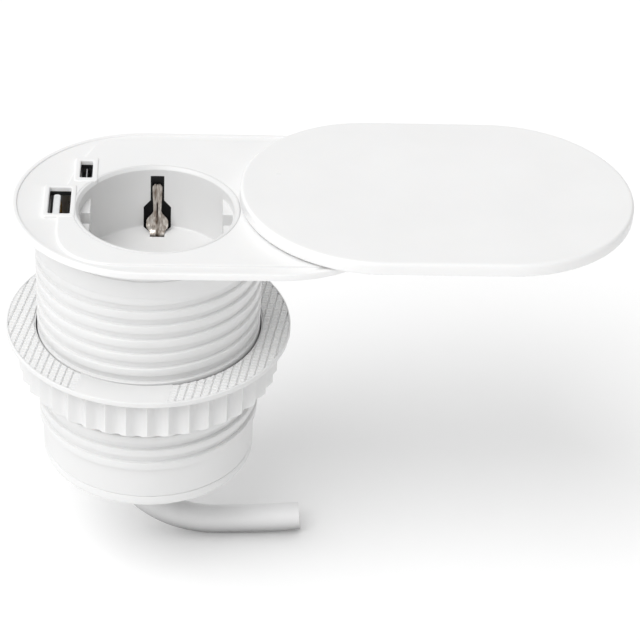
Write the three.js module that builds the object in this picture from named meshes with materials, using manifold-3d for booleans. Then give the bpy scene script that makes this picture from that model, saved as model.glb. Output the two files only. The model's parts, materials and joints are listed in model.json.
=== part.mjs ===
// Desk power outlet for a 60 mm round hole: one earthed socket and two USB ports in a threaded
// tube, an oblong top plate with a cover that swivels on it, and a nut that clamps the tube from
// under the desktop.
//
// Units are millimetres and +Z is up. The origin is on the tube's axis, in the plane of the
// socket's floor, where a plug's face rests. The dimensions below measure heights from the
// desktop's upper surface instead, and one group raises the whole assembly by the difference.
// The cover is shown swung open to +X.

import * as THREE from "three";
import { mergeVertices } from "three/addons/utils/BufferGeometryUtils.js";
import Module from "manifold-3d";

const wasm = await Module();
wasm.setup();

// ---------------------------------------------------------------- driving dimensions

const PLATE = {
  endRadius: 34.5,
  straight: 33,
  leftCentreX: -0.8,
  grooveLevel: 1.6,
  lipLevel: 1.95,
  lipWidth: 1.4,
  fieldLevel: 2.1,
  fieldHalfWidth: 30.7,
};

const WELL = {
  x: 1.9,
  y: -4.1,
  rimRadius: 20,
  floorRadius: 19.7,
  outerRadius: 21.3,
  collarRadius: 21.5,
  collarBottom: -0.4,
  collarLevel: 2.2,
  rimLevel: 1.6,
  floor: -15.9,
  floorThickness: 2,
  ledgeLevel: -1.3,
  ledgeDistance: 17.1,
  keywayHalfWidth: 2.6,
  pinOffset: 9.5,
  pinHoleRadius: 2.7,
};

const TUBE = {
  boreRadius: 27.4,
  rootRadius: 28.9,
  collarRadius: 29.95,
  collarBottom: -3.4,
  bandRadius: 29.75,
  bandBottom: -9.8,
  top: -0.02,
  bottom: -73.4,
};

const THREAD = {
  pitch: 4.4,
  segmentsPerTurn: 24,
  crestRadius: 29.8,
  crestHalfWidth: 1.1,
  baseHalfWidth: 1.2,
  top: -7.5,
  turns: 13,
  fadeSteps: 6,
  embed: 0.4,
};

const CAP = { bottom: -77, edgeRadius: 1.6 };

const COVER = {
  endRadius: 35.2,
  straight: 32.1,
  openLeftCentreX: 58.5,
  bottom: 2.65,
  top: 6.1,
  edgeRounding: 0.9,
};

// The pivot lies midway between the middles of the plate and of the open cover.
const PLATE_MIDDLE_X = PLATE.leftCentreX + PLATE.straight / 2;
const OPEN_COVER_MIDDLE_X = COVER.openLeftCentreX + COVER.straight / 2;
const PIVOT_X = (PLATE_MIDDLE_X + OPEN_COVER_MIDDLE_X) / 2;
const PIVOT = { pinRadius: 2, pocketRadius: 5.6, pocketDepth: 1.25 };

const CLAMP = { outerRadius: 38, boreRadius: 30.5, top: -35.4, thickness: 1.6 };

const NUT = {
  gapToRing: 0.2,
  height: 12.4,
  flutes: 40,
  fluteRadius: 33.1,
  ridgeRadius: 35,
  boreRadius: 30.4,
  threadDepth: 1.05,
  threadTipHalfWidth: 0.4,
  threadBaseHalfWidth: 0.7,
};

const USB_A = {
  x: -23,
  y: -1.4,
  width: 5.72,
  length: 13.1,
  wall: 0.32,
  corner: 0.5,
  tongueTop: 0.65,
  windowWidth: 5.6,
  windowLength: 12.6,
};
const USB_C = {
  x: -16.7,
  y: 14.3,
  width: 3.16,
  length: 8.94,
  wall: 0.26,
  windowWidth: 3.2,
  windowLength: 8.4,
};
const PORT = { top: -0.2, bottom: -15, boardThickness: 1.2, play: 0.05 };

const CARRIER = { top: -20.2, thickness: 2, radius: 19.5 };
const SHUTTER = {
  top: -18.1,
  thickness: 1.5,
  radius: 13.5,
  pivotRadius: 1.5,
  holeRadius: 2.9,
  blockedAngle: 35,
};
const STRAP = {
  thickness: 0.8,
  neckHalfWidth: 1.2,
  bellHalfWidth: 2.8,
  tailHalfWidth: 1.7,
  neckEnd: -8.4,
  bellLevel: -13.2,
  tailStart: -15.4,
  crossing: -23.8,
};
const TERMINAL = {
  inner: 3.6,
  outer: 10.4,
  halfWidth: 3.6,
  top: -27,
  bottom: -34,
  wireHoleRadius: 1.45,
  wireOffset: 1.75,
  screwHoleRadius: 1.35,
  screwDrop: 1.8,
};

const CHARGER_BOARD = { radius: 26.8, top: -44, thickness: 1.6, wireGapX: -13 };
const BOARD_UNDERSIDE = CHARGER_BOARD.top - CHARGER_BOARD.thickness;
const BOSS = { radius: 2.6, distance: 25, angle: 50, holeRadius: 1.25, holeDepth: 8 };

const CABLE = {
  x: -9,
  radius: 4,
  boreRadius: 2.95,
  innerEnd: -58,
  bendStart: -77.2,
  bendRadius: 28,
  cutEndX: 43,
  cutEndRise: 1.2,
  coreRadius: 1.15,
  coreSpread: 1.48,
};

const ROUND = 36;
const MIDDLE_ROUND = 24;
const SMALL_ROUND = 12;

// ---------------------------------------------------------------- materials

const plastic = (colour, roughness) =>
  new THREE.MeshStandardMaterial({ color: colour, roughness, metalness: 0 });
const metal = (colour, roughness) =>
  new THREE.MeshStandardMaterial({ color: colour, roughness, metalness: 1 });

const MATERIAL = {
  satinWhite: plastic(0xf1f1f0, 0.45),
  glossWhite: plastic(0xf4f4f3, 0.3),
  tubeWhite: plastic(0xeeeeed, 0.5),
  cableWhite: plastic(0xececeb, 0.55),
  innerPlastic: plastic(0x3a3a3c, 0.6),
  nylon: plastic(0xe6e2d6, 0.5),
  rubber: plastic(0xe8e8e6, 0.8),
  board: plastic(0x1f5a3a, 0.5),
  component: plastic(0x23252a, 0.4),
  capacitorSleeve: plastic(0x2b3350, 0.35),
  transformerTape: plastic(0xd9b22c, 0.4),
  brownCore: plastic(0x5a3a22, 0.5),
  blueCore: plastic(0x2a62b4, 0.5),
  earthCore: plastic(0x9fb52a, 0.5),
  redLead: plastic(0xb02a24, 0.5),
  blackLead: plastic(0x1c1c1c, 0.5),
  nickel: metal(0xb9b4ab, 0.3),
  brass: metal(0xc2a15a, 0.35),
  steel: metal(0xa9abae, 0.35),
};

// ---------------------------------------------------------------- solids

const MERGE_DISTANCE = 1e-4;

// A closed three.js geometry as a solid, with its faces pointing out.
function solid(geometry) {
  const loose = geometry.index ? geometry.toNonIndexed() : geometry;
  const bare = new THREE.BufferGeometry();
  bare.setAttribute("position", loose.getAttribute("position"));
  const merged = mergeVertices(bare, MERGE_DISTANCE);
  const triangles = [];
  for (let i = 0; i < merged.index.count; i += 3) {
    const [a, b, c] = [0, 1, 2].map((k) => merged.index.getX(i + k));
    if (a !== b && b !== c && c !== a) triangles.push(a, b, c);
  }
  const vertProperties = merged.attributes.position.array;
  const make = (order) => {
    const triVerts = new Uint32Array(order);
    return new wasm.Manifold(new wasm.Mesh({ numProp: 3, vertProperties, triVerts }));
  };
  const made = make(triangles);
  return made.volume() > 0 ? made : make(triangles.reverse());
}

function geometryOf(shape) {
  const mesh = shape.getMesh();
  const positions = new Float32Array(mesh.vertProperties);
  const index = new Uint32Array(mesh.triVerts);
  const geometry = new THREE.BufferGeometry();
  geometry.setAttribute("position", new THREE.BufferAttribute(positions, 3));
  geometry.setIndex(new THREE.BufferAttribute(index, 1));
  const faceted = geometry.toNonIndexed();
  faceted.computeVertexNormals();
  return faceted;
}

const join = (first, ...others) => others.reduce((all, next) => all.add(next), first);
const cut = (from, ...tools) => tools.reduce((left, tool) => left.subtract(tool), from);

// Where a turned body stands, and how many sides its circles get.
const atWell = { x: WELL.x, y: WELL.y };
const middleAt = (x, y = 0) => ({ x, y, segments: MIDDLE_ROUND });
const smallAt = (x, y = 0) => ({ x, y, segments: SMALL_ROUND });

// A body turned about the Z axis from a closed profile of [radius, height] points.
function turned(profile, { x = 0, y = 0, segments = ROUND } = {}) {
  const points = profile.map(([r, z]) => new THREE.Vector2(r, z));
  return solid(new THREE.LatheGeometry(points, segments).rotateX(Math.PI / 2).translate(x, y, 0));
}

const disc = (radius, low, high, placing) =>
  turned([[0, low], [radius, low], [radius, high], [0, high]], placing);

const ring = (inner, outer, low, high, placing) =>
  turned([[inner, low], [outer, low], [outer, high], [inner, high], [inner, low]], placing);

// A block between two values along each axis; the two along X may come in either order.
function block(x0, x1, y0, y1, z0, z1) {
  const box = new THREE.BoxGeometry(Math.abs(x1 - x0), y1 - y0, z1 - z0);
  return solid(box.translate((x0 + x1) / 2, (y0 + y1) / 2, (z0 + z1) / 2));
}

const extrude = (outline, depth, curveSegments = 12) =>
  new THREE.ExtrudeGeometry(outline, { depth, bevelEnabled: false, curveSegments });

const prism = (outline, low, high, curveSegments) =>
  solid(extrude(outline, high - low, curveSegments).translate(0, 0, low));

// The other half of an outline that is symmetrical about x = 0, in the order that closes it.
const mirrored = (points) => points.map(([x, y]) => [-x, y]).reverse();

const polygon = (points) => new THREE.Shape(points.map(([x, y]) => new THREE.Vector2(x, y)));

// A rod along X, for holes and screws that enter from the side.
function rodAlongX(radius, x0, x1, y, z) {
  const rod = new THREE.CylinderGeometry(radius, radius, Math.abs(x1 - x0), SMALL_ROUND);
  return solid(rod.rotateZ(Math.PI / 2).translate((x0 + x1) / 2, y, z));
}

// Two half circles joined by straight sides along X.
function oblong(radius, straight, leftCentreX) {
  const outline = new THREE.Shape();
  outline.absarc(leftCentreX, 0, radius, Math.PI / 2, (3 * Math.PI) / 2, false);
  outline.absarc(leftCentreX + straight, 0, radius, -Math.PI / 2, Math.PI / 2, false);
  return outline;
}

// Two half circles joined by straight sides along Y, centred on a point.
function slotAlongY(width, length, x, y) {
  const radius = width / 2;
  const reach = length / 2 - radius;
  const outline = new THREE.Shape();
  outline.absarc(x, y + reach, radius, 0, Math.PI, false);
  outline.absarc(x, y - reach, radius, Math.PI, 2 * Math.PI, false);
  return outline;
}

function roundedRectangle(width, length, corner, x, y) {
  const [w, l] = [width / 2 - corner, length / 2 - corner];
  const outline = new THREE.Shape();
  outline.absarc(x + w, y + l, corner, 0, Math.PI / 2, false);
  outline.absarc(x - w, y + l, corner, Math.PI / 2, Math.PI, false);
  outline.absarc(x - w, y - l, corner, Math.PI, 1.5 * Math.PI, false);
  outline.absarc(x + w, y - l, corner, 1.5 * Math.PI, 2 * Math.PI, false);
  return outline;
}

function circle(radius) {
  return new THREE.Shape().absarc(0, 0, radius, 0, 2 * Math.PI, false);
}

// A round wire through a list of [x, y, z] points, with a flat face at each end.
function wire(points, radius, steps) {
  const extrudePath = new THREE.CatmullRomCurve3(points.map((point) => new THREE.Vector3(...point)));
  const curveSegments = radius > 2 ? 6 : 3;
  const options = { steps, extrudePath, curveSegments, bevelEnabled: false };
  return solid(new THREE.ExtrudeGeometry(circle(radius), options));
}

// One thread ridge: a trapezium swept along a right-hand helix, faded out at both ends. The base
// radius lies inside the wall that carries the ridge, and the tip stands clear of it.
function threadRidge({ baseRadius, tipRadius, baseHalfWidth, tipHalfWidth, top, turns }) {
  const steps = Math.round(turns * THREAD.segmentsPerTurn);
  const { fadeSteps } = THREAD;
  const positions = [];
  for (let i = 0; i <= steps; i++) {
    const angle = (-2 * Math.PI * i) / THREAD.segmentsPerTurn;
    const z = top - (THREAD.pitch * i) / THREAD.segmentsPerTurn;
    const height = Math.min(1, (i + 1) / fadeSteps, (steps - i + 1) / fadeSteps);
    const tip = baseRadius + (tipRadius - baseRadius) * height;
    for (const [r, dz] of [
      [baseRadius, -baseHalfWidth],
      [tip, -tipHalfWidth],
      [tip, tipHalfWidth],
      [baseRadius, baseHalfWidth],
    ])
      positions.push(r * Math.cos(angle), r * Math.sin(angle), z + dz);
  }
  const index = [0, 1, 2, 0, 2, 3];
  for (let i = 0; i < steps; i++)
    for (let k = 0; k < 4; k++) {
      const [a, b] = [4 * i + k, 4 * i + ((k + 1) % 4)];
      index.push(a, a + 4, b, b, a + 4, b + 4);
    }
  const end = 4 * steps;
  index.push(end, end + 2, end + 1, end, end + 3, end + 2);
  const geometry = new THREE.BufferGeometry();
  geometry.setAttribute("position", new THREE.Float32BufferAttribute(positions, 3));
  geometry.setIndex(index);
  return solid(geometry);
}

// ---------------------------------------------------------------- the assembly's group

const outlet = new THREE.Group();
outlet.name = "desk_power_outlet";

// Its own zero height is the desktop, so it stands as high above the origin as the floor is deep.
const fromDesktop = new THREE.Group();
fromDesktop.position.z = -WELL.floor;
outlet.add(fromDesktop);

function add(name, shape, material, parent = fromDesktop) {
  const mesh = new THREE.Mesh(geometryOf(shape), material);
  mesh.name = name;
  parent.add(mesh);
  return mesh;
}

// A pan-head screw standing on its head: the shank points up, the origin is under the head.
function screwShape(headRadius, headHeight, shankRadius, length) {
  const slotHalfWidth = 0.35;
  const slotTop = -headHeight / 2;
  const profile = [
    [0, -headHeight],
    [headRadius, -headHeight],
    [headRadius, 0],
    [shankRadius, 0],
    [shankRadius, length],
    [0, length],
  ];
  const slot = [-headRadius, headRadius, -slotHalfWidth, slotHalfWidth, -headHeight - 1, slotTop];
  return cut(turned(profile, smallAt(0)), block(...slot));
}

function addScrew(name, shape, [x, y, z], turn = [0, 0, 0]) {
  const screw = add(name, shape, MATERIAL.steel);
  screw.position.set(x, y, z);
  screw.rotation.set(...turn);
}

const polar = (distance, degrees) => {
  const angle = THREE.MathUtils.degToRad(degrees);
  return [distance * Math.cos(angle), distance * Math.sin(angle)];
};

const BOSS_ANGLES = [BOSS.angle, -BOSS.angle];
const HOOK = {
  angles: [12, 105, 237],
  halfAngle: 9,
  inner: 26,
  outer: 27.1,
  barb: 27.9,
  barbHeight: 0.8,
  grooveTop: -7.4,
  bottom: -10,
};
const PORT_POSTS = [
  [-21.9, 12.4],
  [-21, -12.5],
];
const PIN_PLACES = [-1, 1].map((side) => middleAt(WELL.x + side * WELL.pinOffset, WELL.y));
const CARRIER_SCREWS = [45, 225].map((angle) => {
  const [x, y] = polar(16.8, angle);
  return [WELL.x + x, WELL.y + y];
});

// ---------------------------------------------------------------- top plate

// The raised field around the socket and ports: straight front and back edges, a long shallow arc
// on the left, and rounded corners between them.
function plateField() {
  const outline = new THREE.Shape();
  const half = PLATE.fieldHalfWidth;
  const arc = { x: 71.8, y: -12, radius: 95 };
  const frontAngle = Math.PI + 0.032;
  const backAngle = Math.PI - 0.41;
  outline.moveTo(90, -half);
  outline.lineTo(-7, -half);
  const arcStartX = arc.x + arc.radius * Math.cos(frontAngle);
  const arcStartY = arc.y + arc.radius * Math.sin(frontAngle);
  outline.quadraticCurveTo(-22.8, -30.2, arcStartX, arcStartY);
  outline.absarc(arc.x, arc.y, arc.radius, frontAngle, backAngle, true);
  outline.quadraticCurveTo(-13.4, half, -9, half);
  outline.lineTo(90, half);
  return outline;
}

function topPlate() {
  const { endRadius, straight, leftCentreX, lipWidth, grooveLevel, lipLevel, fieldLevel } = PLATE;
  const inner = oblong(endRadius - lipWidth, straight, leftCentreX);
  const base = oblong(endRadius, straight, leftCentreX);
  const lip = oblong(endRadius, straight, leftCentreX);
  lip.holes.push(inner);
  const field = prism(plateField(), 0, fieldLevel).intersect(prism(inner, -1, fieldLevel + 1));
  let plate = join(prism(base, 0, grooveLevel), prism(lip, 0, lipLevel), field);

  const through = [-30, 10];
  const { windowWidth, windowLength, x: usbAX, y: usbAY } = USB_A;
  plate = cut(
    plate,
    disc(WELL.outerRadius + 0.5, ...through, atWell),
    prism(roundedRectangle(windowWidth, windowLength, 0.4, usbAX, usbAY), ...through),
    prism(slotAlongY(USB_C.windowWidth, USB_C.windowLength, USB_C.x, USB_C.y), ...through),
    disc(PIVOT.pinRadius + 0.25, ...through, middleAt(PIVOT_X)),
    disc(PIVOT.pocketRadius, -1, PIVOT.pocketDepth, middleAt(PIVOT_X)),
  );

  for (const angle of HOOK.angles) plate = plate.add(snapHook(angle));
  for (const [x, y] of PORT_POSTS) {
    const post = disc(1.6, PORT.bottom, 0.5, smallAt(x, y));
    const screwHole = disc(0.85, PORT.bottom - 1, PORT.bottom + 7, smallAt(x, y));
    plate = cut(plate.add(post), screwHole);
  }
  return plate;
}

// A springy tab under the plate with a barb that catches in the tube's inner groove.
function snapHook(angle) {
  const wedge = new THREE.Shape();
  wedge.moveTo(0, 0);
  const start = THREE.MathUtils.degToRad(angle - HOOK.halfAngle);
  const end = THREE.MathUtils.degToRad(angle + HOOK.halfAngle);
  wedge.absarc(0, 0, 40, start, end, false);
  const barbTop = HOOK.grooveTop - 0.1;
  const profile = [
    [HOOK.inner, HOOK.bottom],
    [HOOK.outer, HOOK.bottom],
    [HOOK.barb, barbTop - HOOK.barbHeight],
    [HOOK.barb, barbTop],
    [HOOK.outer, barbTop],
    [HOOK.outer, 0.5],
    [HOOK.inner, 0.5],
    [HOOK.inner, HOOK.bottom],
  ];
  return turned(profile).intersect(prism(wedge, -20, 5, 6));
}

// ---------------------------------------------------------------- tube, bottom cap and cable entry

function housing() {
  const grooveRadius = HOOK.barb + 0.4;
  const profile = [
    [TUBE.boreRadius, TUBE.bottom],
    [TUBE.rootRadius, TUBE.bottom],
    [TUBE.rootRadius, TUBE.bandBottom],
    [TUBE.bandRadius, TUBE.bandBottom],
    [TUBE.bandRadius, TUBE.collarBottom],
    [TUBE.collarRadius, TUBE.collarBottom],
    [TUBE.collarRadius, TUBE.top],
    [TUBE.boreRadius, TUBE.top],
    [TUBE.boreRadius, HOOK.grooveTop],
    [grooveRadius, HOOK.grooveTop],
    [grooveRadius, HOOK.bottom],
    [TUBE.boreRadius, HOOK.bottom - 0.8],
    [TUBE.boreRadius, TUBE.bottom],
  ];
  const ridge = threadRidge({
    baseRadius: TUBE.rootRadius - THREAD.embed,
    tipRadius: THREAD.crestRadius,
    baseHalfWidth: THREAD.baseHalfWidth,
    tipHalfWidth: THREAD.crestHalfWidth,
    top: THREAD.top - THREAD.baseHalfWidth,
    turns: THREAD.turns,
  });
  let tube = turned(profile, { segments: THREAD.segmentsPerTurn }).add(ridge);
  const bossTop = BOARD_UNDERSIDE;
  for (const angle of BOSS_ANGLES) {
    const [x, y] = polar(BOSS.distance, angle);
    const at = smallAt(x, y);
    tube = tube.add(disc(BOSS.radius, TUBE.bottom, bossTop, at));
    tube = cut(
      tube,
      disc(BOSS.holeRadius, bossTop - BOSS.holeDepth, bossTop + 1, at),
      disc(BOSS.holeRadius, TUBE.bottom - 1, TUBE.bottom + BOSS.holeDepth, at),
    );
  }
  return tube;
}

const GROMMET = { neckRadius: 5.4, flangeRadius: 6.8, flangeThickness: 1 };
const CORD_CLAMP_FACE = CABLE.x + CABLE.radius + 3.2;
const CORD_POST = { x0: -16.6, x1: -13.2, halfLength: 9, top: -62 };
const CORD_SCREW = { y: 6.6, z: -66.5, shankRadius: 1.2 };
const CAP_SCREW_HEAD = { radius: 2.3, depth: 1.3 };
const SPIGOT_TOP = TUBE.bottom + 1.4;

function bottomCap() {
  const { bottom, edgeRadius } = CAP;
  const edge = [0, 30, 60, 90].map((degrees) => {
    const [dx, dz] = polar(edgeRadius, degrees);
    return [TUBE.rootRadius - edgeRadius + dz, bottom + edgeRadius - dx];
  });
  const spigotRadius = TUBE.boreRadius - 0.3;
  let cap = turned([
    [0, bottom],
    ...edge,
    [TUBE.rootRadius, TUBE.bottom],
    [spigotRadius, TUBE.bottom],
    [spigotRadius, SPIGOT_TOP],
    [0, SPIGOT_TOP],
  ]);
  const { x0, x1, halfLength, top } = CORD_POST;
  cap = cap.add(block(x0, x1, -halfLength, halfLength, SPIGOT_TOP - 1, top));
  cap = cut(
    cap,
    disc(GROMMET.neckRadius + 0.1, bottom - 1, SPIGOT_TOP + 1, middleAt(CABLE.x)),
    disc(GROMMET.neckRadius + 1.2, SPIGOT_TOP, SPIGOT_TOP + 1.3, middleAt(CABLE.x)),
  );
  const { y: screwY, z: screwZ, shankRadius } = CORD_SCREW;
  for (const side of [-1, 1])
    cap = cut(cap, rodAlongX(shankRadius + 0.05, x0 - 1, x1 + 1, side * screwY, screwZ));
  for (const angle of BOSS_ANGLES) {
    const at = smallAt(...polar(BOSS.distance, angle));
    cap = cut(
      cap,
      disc(BOSS.radius + 0.4, TUBE.bottom, SPIGOT_TOP + 1, at),
      disc(BOSS.holeRadius + 0.15, bottom - 1, TUBE.bottom + 1, at),
      disc(CAP_SCREW_HEAD.radius, bottom - 1, bottom + CAP_SCREW_HEAD.depth, at),
    );
  }
  return cap;
}

function grommet() {
  const { neckRadius, flangeRadius, flangeThickness } = GROMMET;
  const inner = CABLE.radius + 0.1;
  const profile = [
    [inner, CAP.bottom - flangeThickness],
    [flangeRadius, CAP.bottom - flangeThickness],
    [flangeRadius, CAP.bottom],
    [neckRadius, CAP.bottom],
    [neckRadius, SPIGOT_TOP],
    [neckRadius + 0.9, SPIGOT_TOP],
    [inner, SPIGOT_TOP + flangeThickness],
    [inner, CAP.bottom - flangeThickness],
  ];
  return turned(profile, middleAt(CABLE.x));
}

function cordClamp() {
  const x0 = CABLE.x + CABLE.radius + 0.1;
  const { y, z, shankRadius } = CORD_SCREW;
  let bar = block(x0, CORD_CLAMP_FACE, -CORD_POST.halfLength, CORD_POST.halfLength, z - 3.5, z + 3.5);
  for (const side of [-1, 1])
    bar = cut(bar, rodAlongX(shankRadius + 0.2, x0 - 1, CORD_CLAMP_FACE + 1, side * y, z));
  return bar;
}

// A point on a line that runs beside the cable's centre line: up inside the tube, down through
// the grommet, round the bend and out to the cut end. The offset is [outwards from the bend, +Y].
function cablePath([outwards, sideways], start, straightSteps, bendSteps) {
  const { x, bendStart, bendRadius, cutEndX } = CABLE;
  const points = [];
  for (let i = 0; i <= straightSteps; i++)
    points.push([x - outwards, sideways, start + ((bendStart - start) * i) / straightSteps]);
  const radius = bendRadius + outwards;
  for (let i = 1; i <= bendSteps; i++) {
    const angle = (Math.PI / 2) * (i / bendSteps);
    points.push([x + bendRadius - radius * Math.cos(angle), sideways, bendStart - radius * Math.sin(angle)]);
  }
  const lowest = bendStart - radius;
  const run = cutEndX - x - bendRadius;
  for (const share of [0.5, 1]) {
    const height = lowest + CABLE.cutEndRise * share * share;
    points.push([x + bendRadius + run * share, sideways, height]);
  }
  return points;
}

function cableSheath() {
  const path = cablePath([0, 0], CABLE.innerEnd, 3, 8);
  const inner = cablePath([0, 0], CABLE.innerEnd + 1, 3, 8);
  const last = inner.at(-1);
  inner.push([last[0] + 1, last[1], last[2] + 0.15]);
  return cut(wire(path, CABLE.radius, 16), wire(inner, CABLE.boreRadius, 17));
}

// ---------------------------------------------------------------- socket

function socketInsert() {
  const underside = WELL.floor - WELL.floorThickness;
  const profile = [
    [0, underside],
    [WELL.outerRadius, underside],
    [WELL.outerRadius, WELL.collarBottom],
    [WELL.collarRadius, WELL.collarBottom],
    [WELL.collarRadius, WELL.collarLevel],
    [WELL.rimRadius + 0.7, WELL.collarLevel],
    [WELL.rimRadius, WELL.rimLevel],
    [WELL.floorRadius, WELL.floor],
    [0, WELL.floor],
  ];
  const shoulder = ring(WELL.outerRadius - 0.4, WELL.outerRadius + 1.3, -1.5, 0, atWell);
  const clearOfPorts = block(-5, 40, -40, 40, -5, 5);
  let insert = join(turned(profile, atWell), shoulder.intersect(clearOfPorts), keyedLedge(-1), keyedLedge(1));
  for (const side of [-1, 1]) insert = cut(insert, earthWindow(side));
  for (const at of PIN_PLACES)
    insert = cut(insert, disc(WELL.pinHoleRadius, underside - 1, WELL.floor + 1, at));
  const pivotHeights = [CARRIER.top + 0.02, underside + 0.5];
  insert = insert.add(disc(SHUTTER.pivotRadius, ...pivotHeights, middleAt(WELL.x, WELL.y)));
  for (const [x, y] of CARRIER_SCREWS) {
    const boss = disc(2.7, CARRIER.top, underside + 0.5, smallAt(x, y));
    const hole = disc(1, CARRIER.top - 1, underside + 1, smallAt(x, y));
    insert = cut(insert.add(boss), hole);
  }
  return insert;
}

// The flat-faced guide on each side of the well, split by the plug's keyway.
function keyedLedge(side) {
  const { x, y, ledgeDistance, ledgeLevel, keywayHalfWidth, rimRadius, floor } = WELL;
  const segment = disc(rimRadius + 0.5, floor - 0.5, ledgeLevel, { x, y });
  const near = x + side * ledgeDistance;
  const far = x + side * (rimRadius + 1);
  const infill = segment.intersect(block(near, far, y - 20, y + 20, -40, 10));
  const keywayReach = 19.6;
  const keyway = [y - keywayHalfWidth, y + keywayHalfWidth];
  return cut(infill, block(x - keywayReach, x + keywayReach, ...keyway, -40, 10));
}

// The opening for one earth contact: a narrow slot high in the wall, a wider one below it, and a
// tapered notch in the floor. Side is +1 at the back of the well and -1 at the front.
function earthWindow(side) {
  const [narrow, wide, tail] = [1.8, 3.65, 1.95];
  const right = [
    [narrow, -0.5],
    [narrow, -7.9],
    [wide, -9.9],
    [wide, WELL.floor + 0.01],
  ];
  const through = extrude(polygon([...right, ...mirrored(right)]), 6).rotateX(Math.PI / 2);
  through.translate(WELL.x, WELL.y + (side > 0 ? 24.5 : -18.5), 0);

  const notch = [
    [wide, 20.6],
    [wide, 19],
    [tail, 16.6],
    [tail, 14.1],
  ];
  const floorNotch = [...notch, ...mirrored(notch)].map(([x, distance]) => [
    WELL.x + x,
    WELL.y + side * distance,
  ]);
  return solid(through).add(prism(polygon(floorNotch), WELL.floor - 5, WELL.floor + 0.5));
}

function shutter() {
  const { top, thickness, radius, pivotRadius, holeRadius, blockedAngle } = SHUTTER;
  const through = [top - 5, top + 5];
  const pivotHole = disc(pivotRadius + 0.25, ...through, middleAt(WELL.x, WELL.y));
  let plate = cut(disc(radius, top - thickness, top, atWell), pivotHole);
  for (const angle of [-blockedAngle, 180 - blockedAngle]) {
    const [x, y] = polar(WELL.pinOffset, angle);
    plate = cut(plate, disc(holeRadius, ...through, middleAt(WELL.x + x, WELL.y + y)));
  }
  return plate;
}

function contactCarrier() {
  const [low, high] = [CARRIER.top - CARRIER.thickness, CARRIER.top];
  const through = [low - 1, high + 1];
  let carrier = disc(CARRIER.radius, low, high, atWell);
  for (const side of [-1, 1]) {
    const y = WELL.y + side * 17;
    carrier = cut(carrier, block(WELL.x - 3, WELL.x + 3, y - 3.8, y + 3.8, ...through));
  }
  for (const at of PIN_PLACES) carrier = cut(carrier, disc(WELL.pinHoleRadius, ...through, at));
  for (const [x, y] of CARRIER_SCREWS) carrier = cut(carrier, disc(1.3, ...through, smallAt(x, y)));
  return carrier;
}

// A sprung sleeve for one plug pin with a screw terminal on its outer side. Side is -1 for the
// left pin and +1 for the right.
function pinContact(side) {
  const pinX = WELL.x + side * WELL.pinOffset;
  const { inner, outer, halfWidth, top, bottom, wireHoleRadius, wireOffset } = TERMINAL;
  const sleeveTop = CARRIER.top - CARRIER.thickness;
  const sleeve = cut(
    block(pinX - 3.5, pinX + 3.5, WELL.y - 3.3, WELL.y + 3.3, -36, sleeveTop),
    disc(2.35, -40, -20, middleAt(pinX, WELL.y)),
    block(pinX - 0.5, pinX + 0.5, WELL.y - 5, WELL.y + 5, -37, sleeveTop - 3),
  );
  const [near, far] = [pinX + side * (inner - 0.4), pinX + side * outer];
  let terminal = block(near, far, WELL.y - halfWidth, WELL.y + halfWidth, bottom, top);
  const middle = pinX + (side * (inner + outer)) / 2;
  for (const offset of [-wireOffset, wireOffset]) {
    const wireHole = disc(wireHoleRadius, bottom - 1, bottom + 4, smallAt(middle, WELL.y + offset));
    terminal = cut(terminal, wireHole);
  }
  const screwHeight = top - TERMINAL.screwDrop;
  const screwHole = [middle + side, pinX + side * (outer + 1), WELL.y, screwHeight];
  return sleeve.add(cut(terminal, rodAlongX(TERMINAL.screwHoleRadius, ...screwHole)));
}

const EARTH_BLOCK = { half: 3, top: -24.5, bottom: -31.5, screwDrop: 2.2 };

// The bow of one earth contact in the well, as [distance from the well's axis, height] points.
const STRAP_BOW = [
  [20.3, -2.7],
  [19.2, -6.5],
  [17.6, -10.8],
  [15.9, -14.8],
  [15.2, -18.5],
  [15.2, STRAP.crossing],
];

// One strip across the whole well, cut from a bent band by its front silhouette, and the block
// under its middle that holds the earth wire.
function earthContact() {
  const { thickness, neckHalfWidth, bellHalfWidth, tailHalfWidth } = STRAP;
  const inner = STRAP_BOW.map(([distance, z]) => [distance - thickness, z]);
  inner.at(-1)[1] += thickness;
  const bow = [...STRAP_BOW, ...mirrored(STRAP_BOW), ...mirrored(inner).reverse(), ...inner.reverse()];
  const band = extrude(polygon(bow), 2 * bellHalfWidth).translate(0, 0, -bellHalfWidth);
  band.rotateX(Math.PI / 2).rotateZ(Math.PI / 2).translate(WELL.x, WELL.y, 0);

  const right = [
    [neckHalfWidth, 0],
    [neckHalfWidth, STRAP.neckEnd],
    [bellHalfWidth, STRAP.bellLevel],
    [tailHalfWidth, STRAP.tailStart],
    [tailHalfWidth, -30],
  ];
  const silhouette = extrude(polygon([...right, ...mirrored(right)]), 60).rotateX(Math.PI / 2);
  const strap = solid(band).intersect(solid(silhouette.translate(WELL.x, WELL.y + 30, 0)));

  const { half, top, bottom, screwDrop } = EARTH_BLOCK;
  const { screwHoleRadius, wireHoleRadius } = TERMINAL;
  const screwHole = new THREE.CylinderGeometry(screwHoleRadius, screwHoleRadius, 4, SMALL_ROUND);
  const blockTop = STRAP.crossing + 0.3;
  const terminal = cut(
    block(WELL.x - half, WELL.x + half, WELL.y - half, WELL.y + half, bottom, blockTop),
    disc(wireHoleRadius, bottom - 1, bottom + 4, smallAt(WELL.x, WELL.y)),
    solid(screwHole.translate(WELL.x, WELL.y - half - 0.5, top - screwDrop)),
  );
  return strap.add(terminal);
}

// ---------------------------------------------------------------- USB ports and charger

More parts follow.
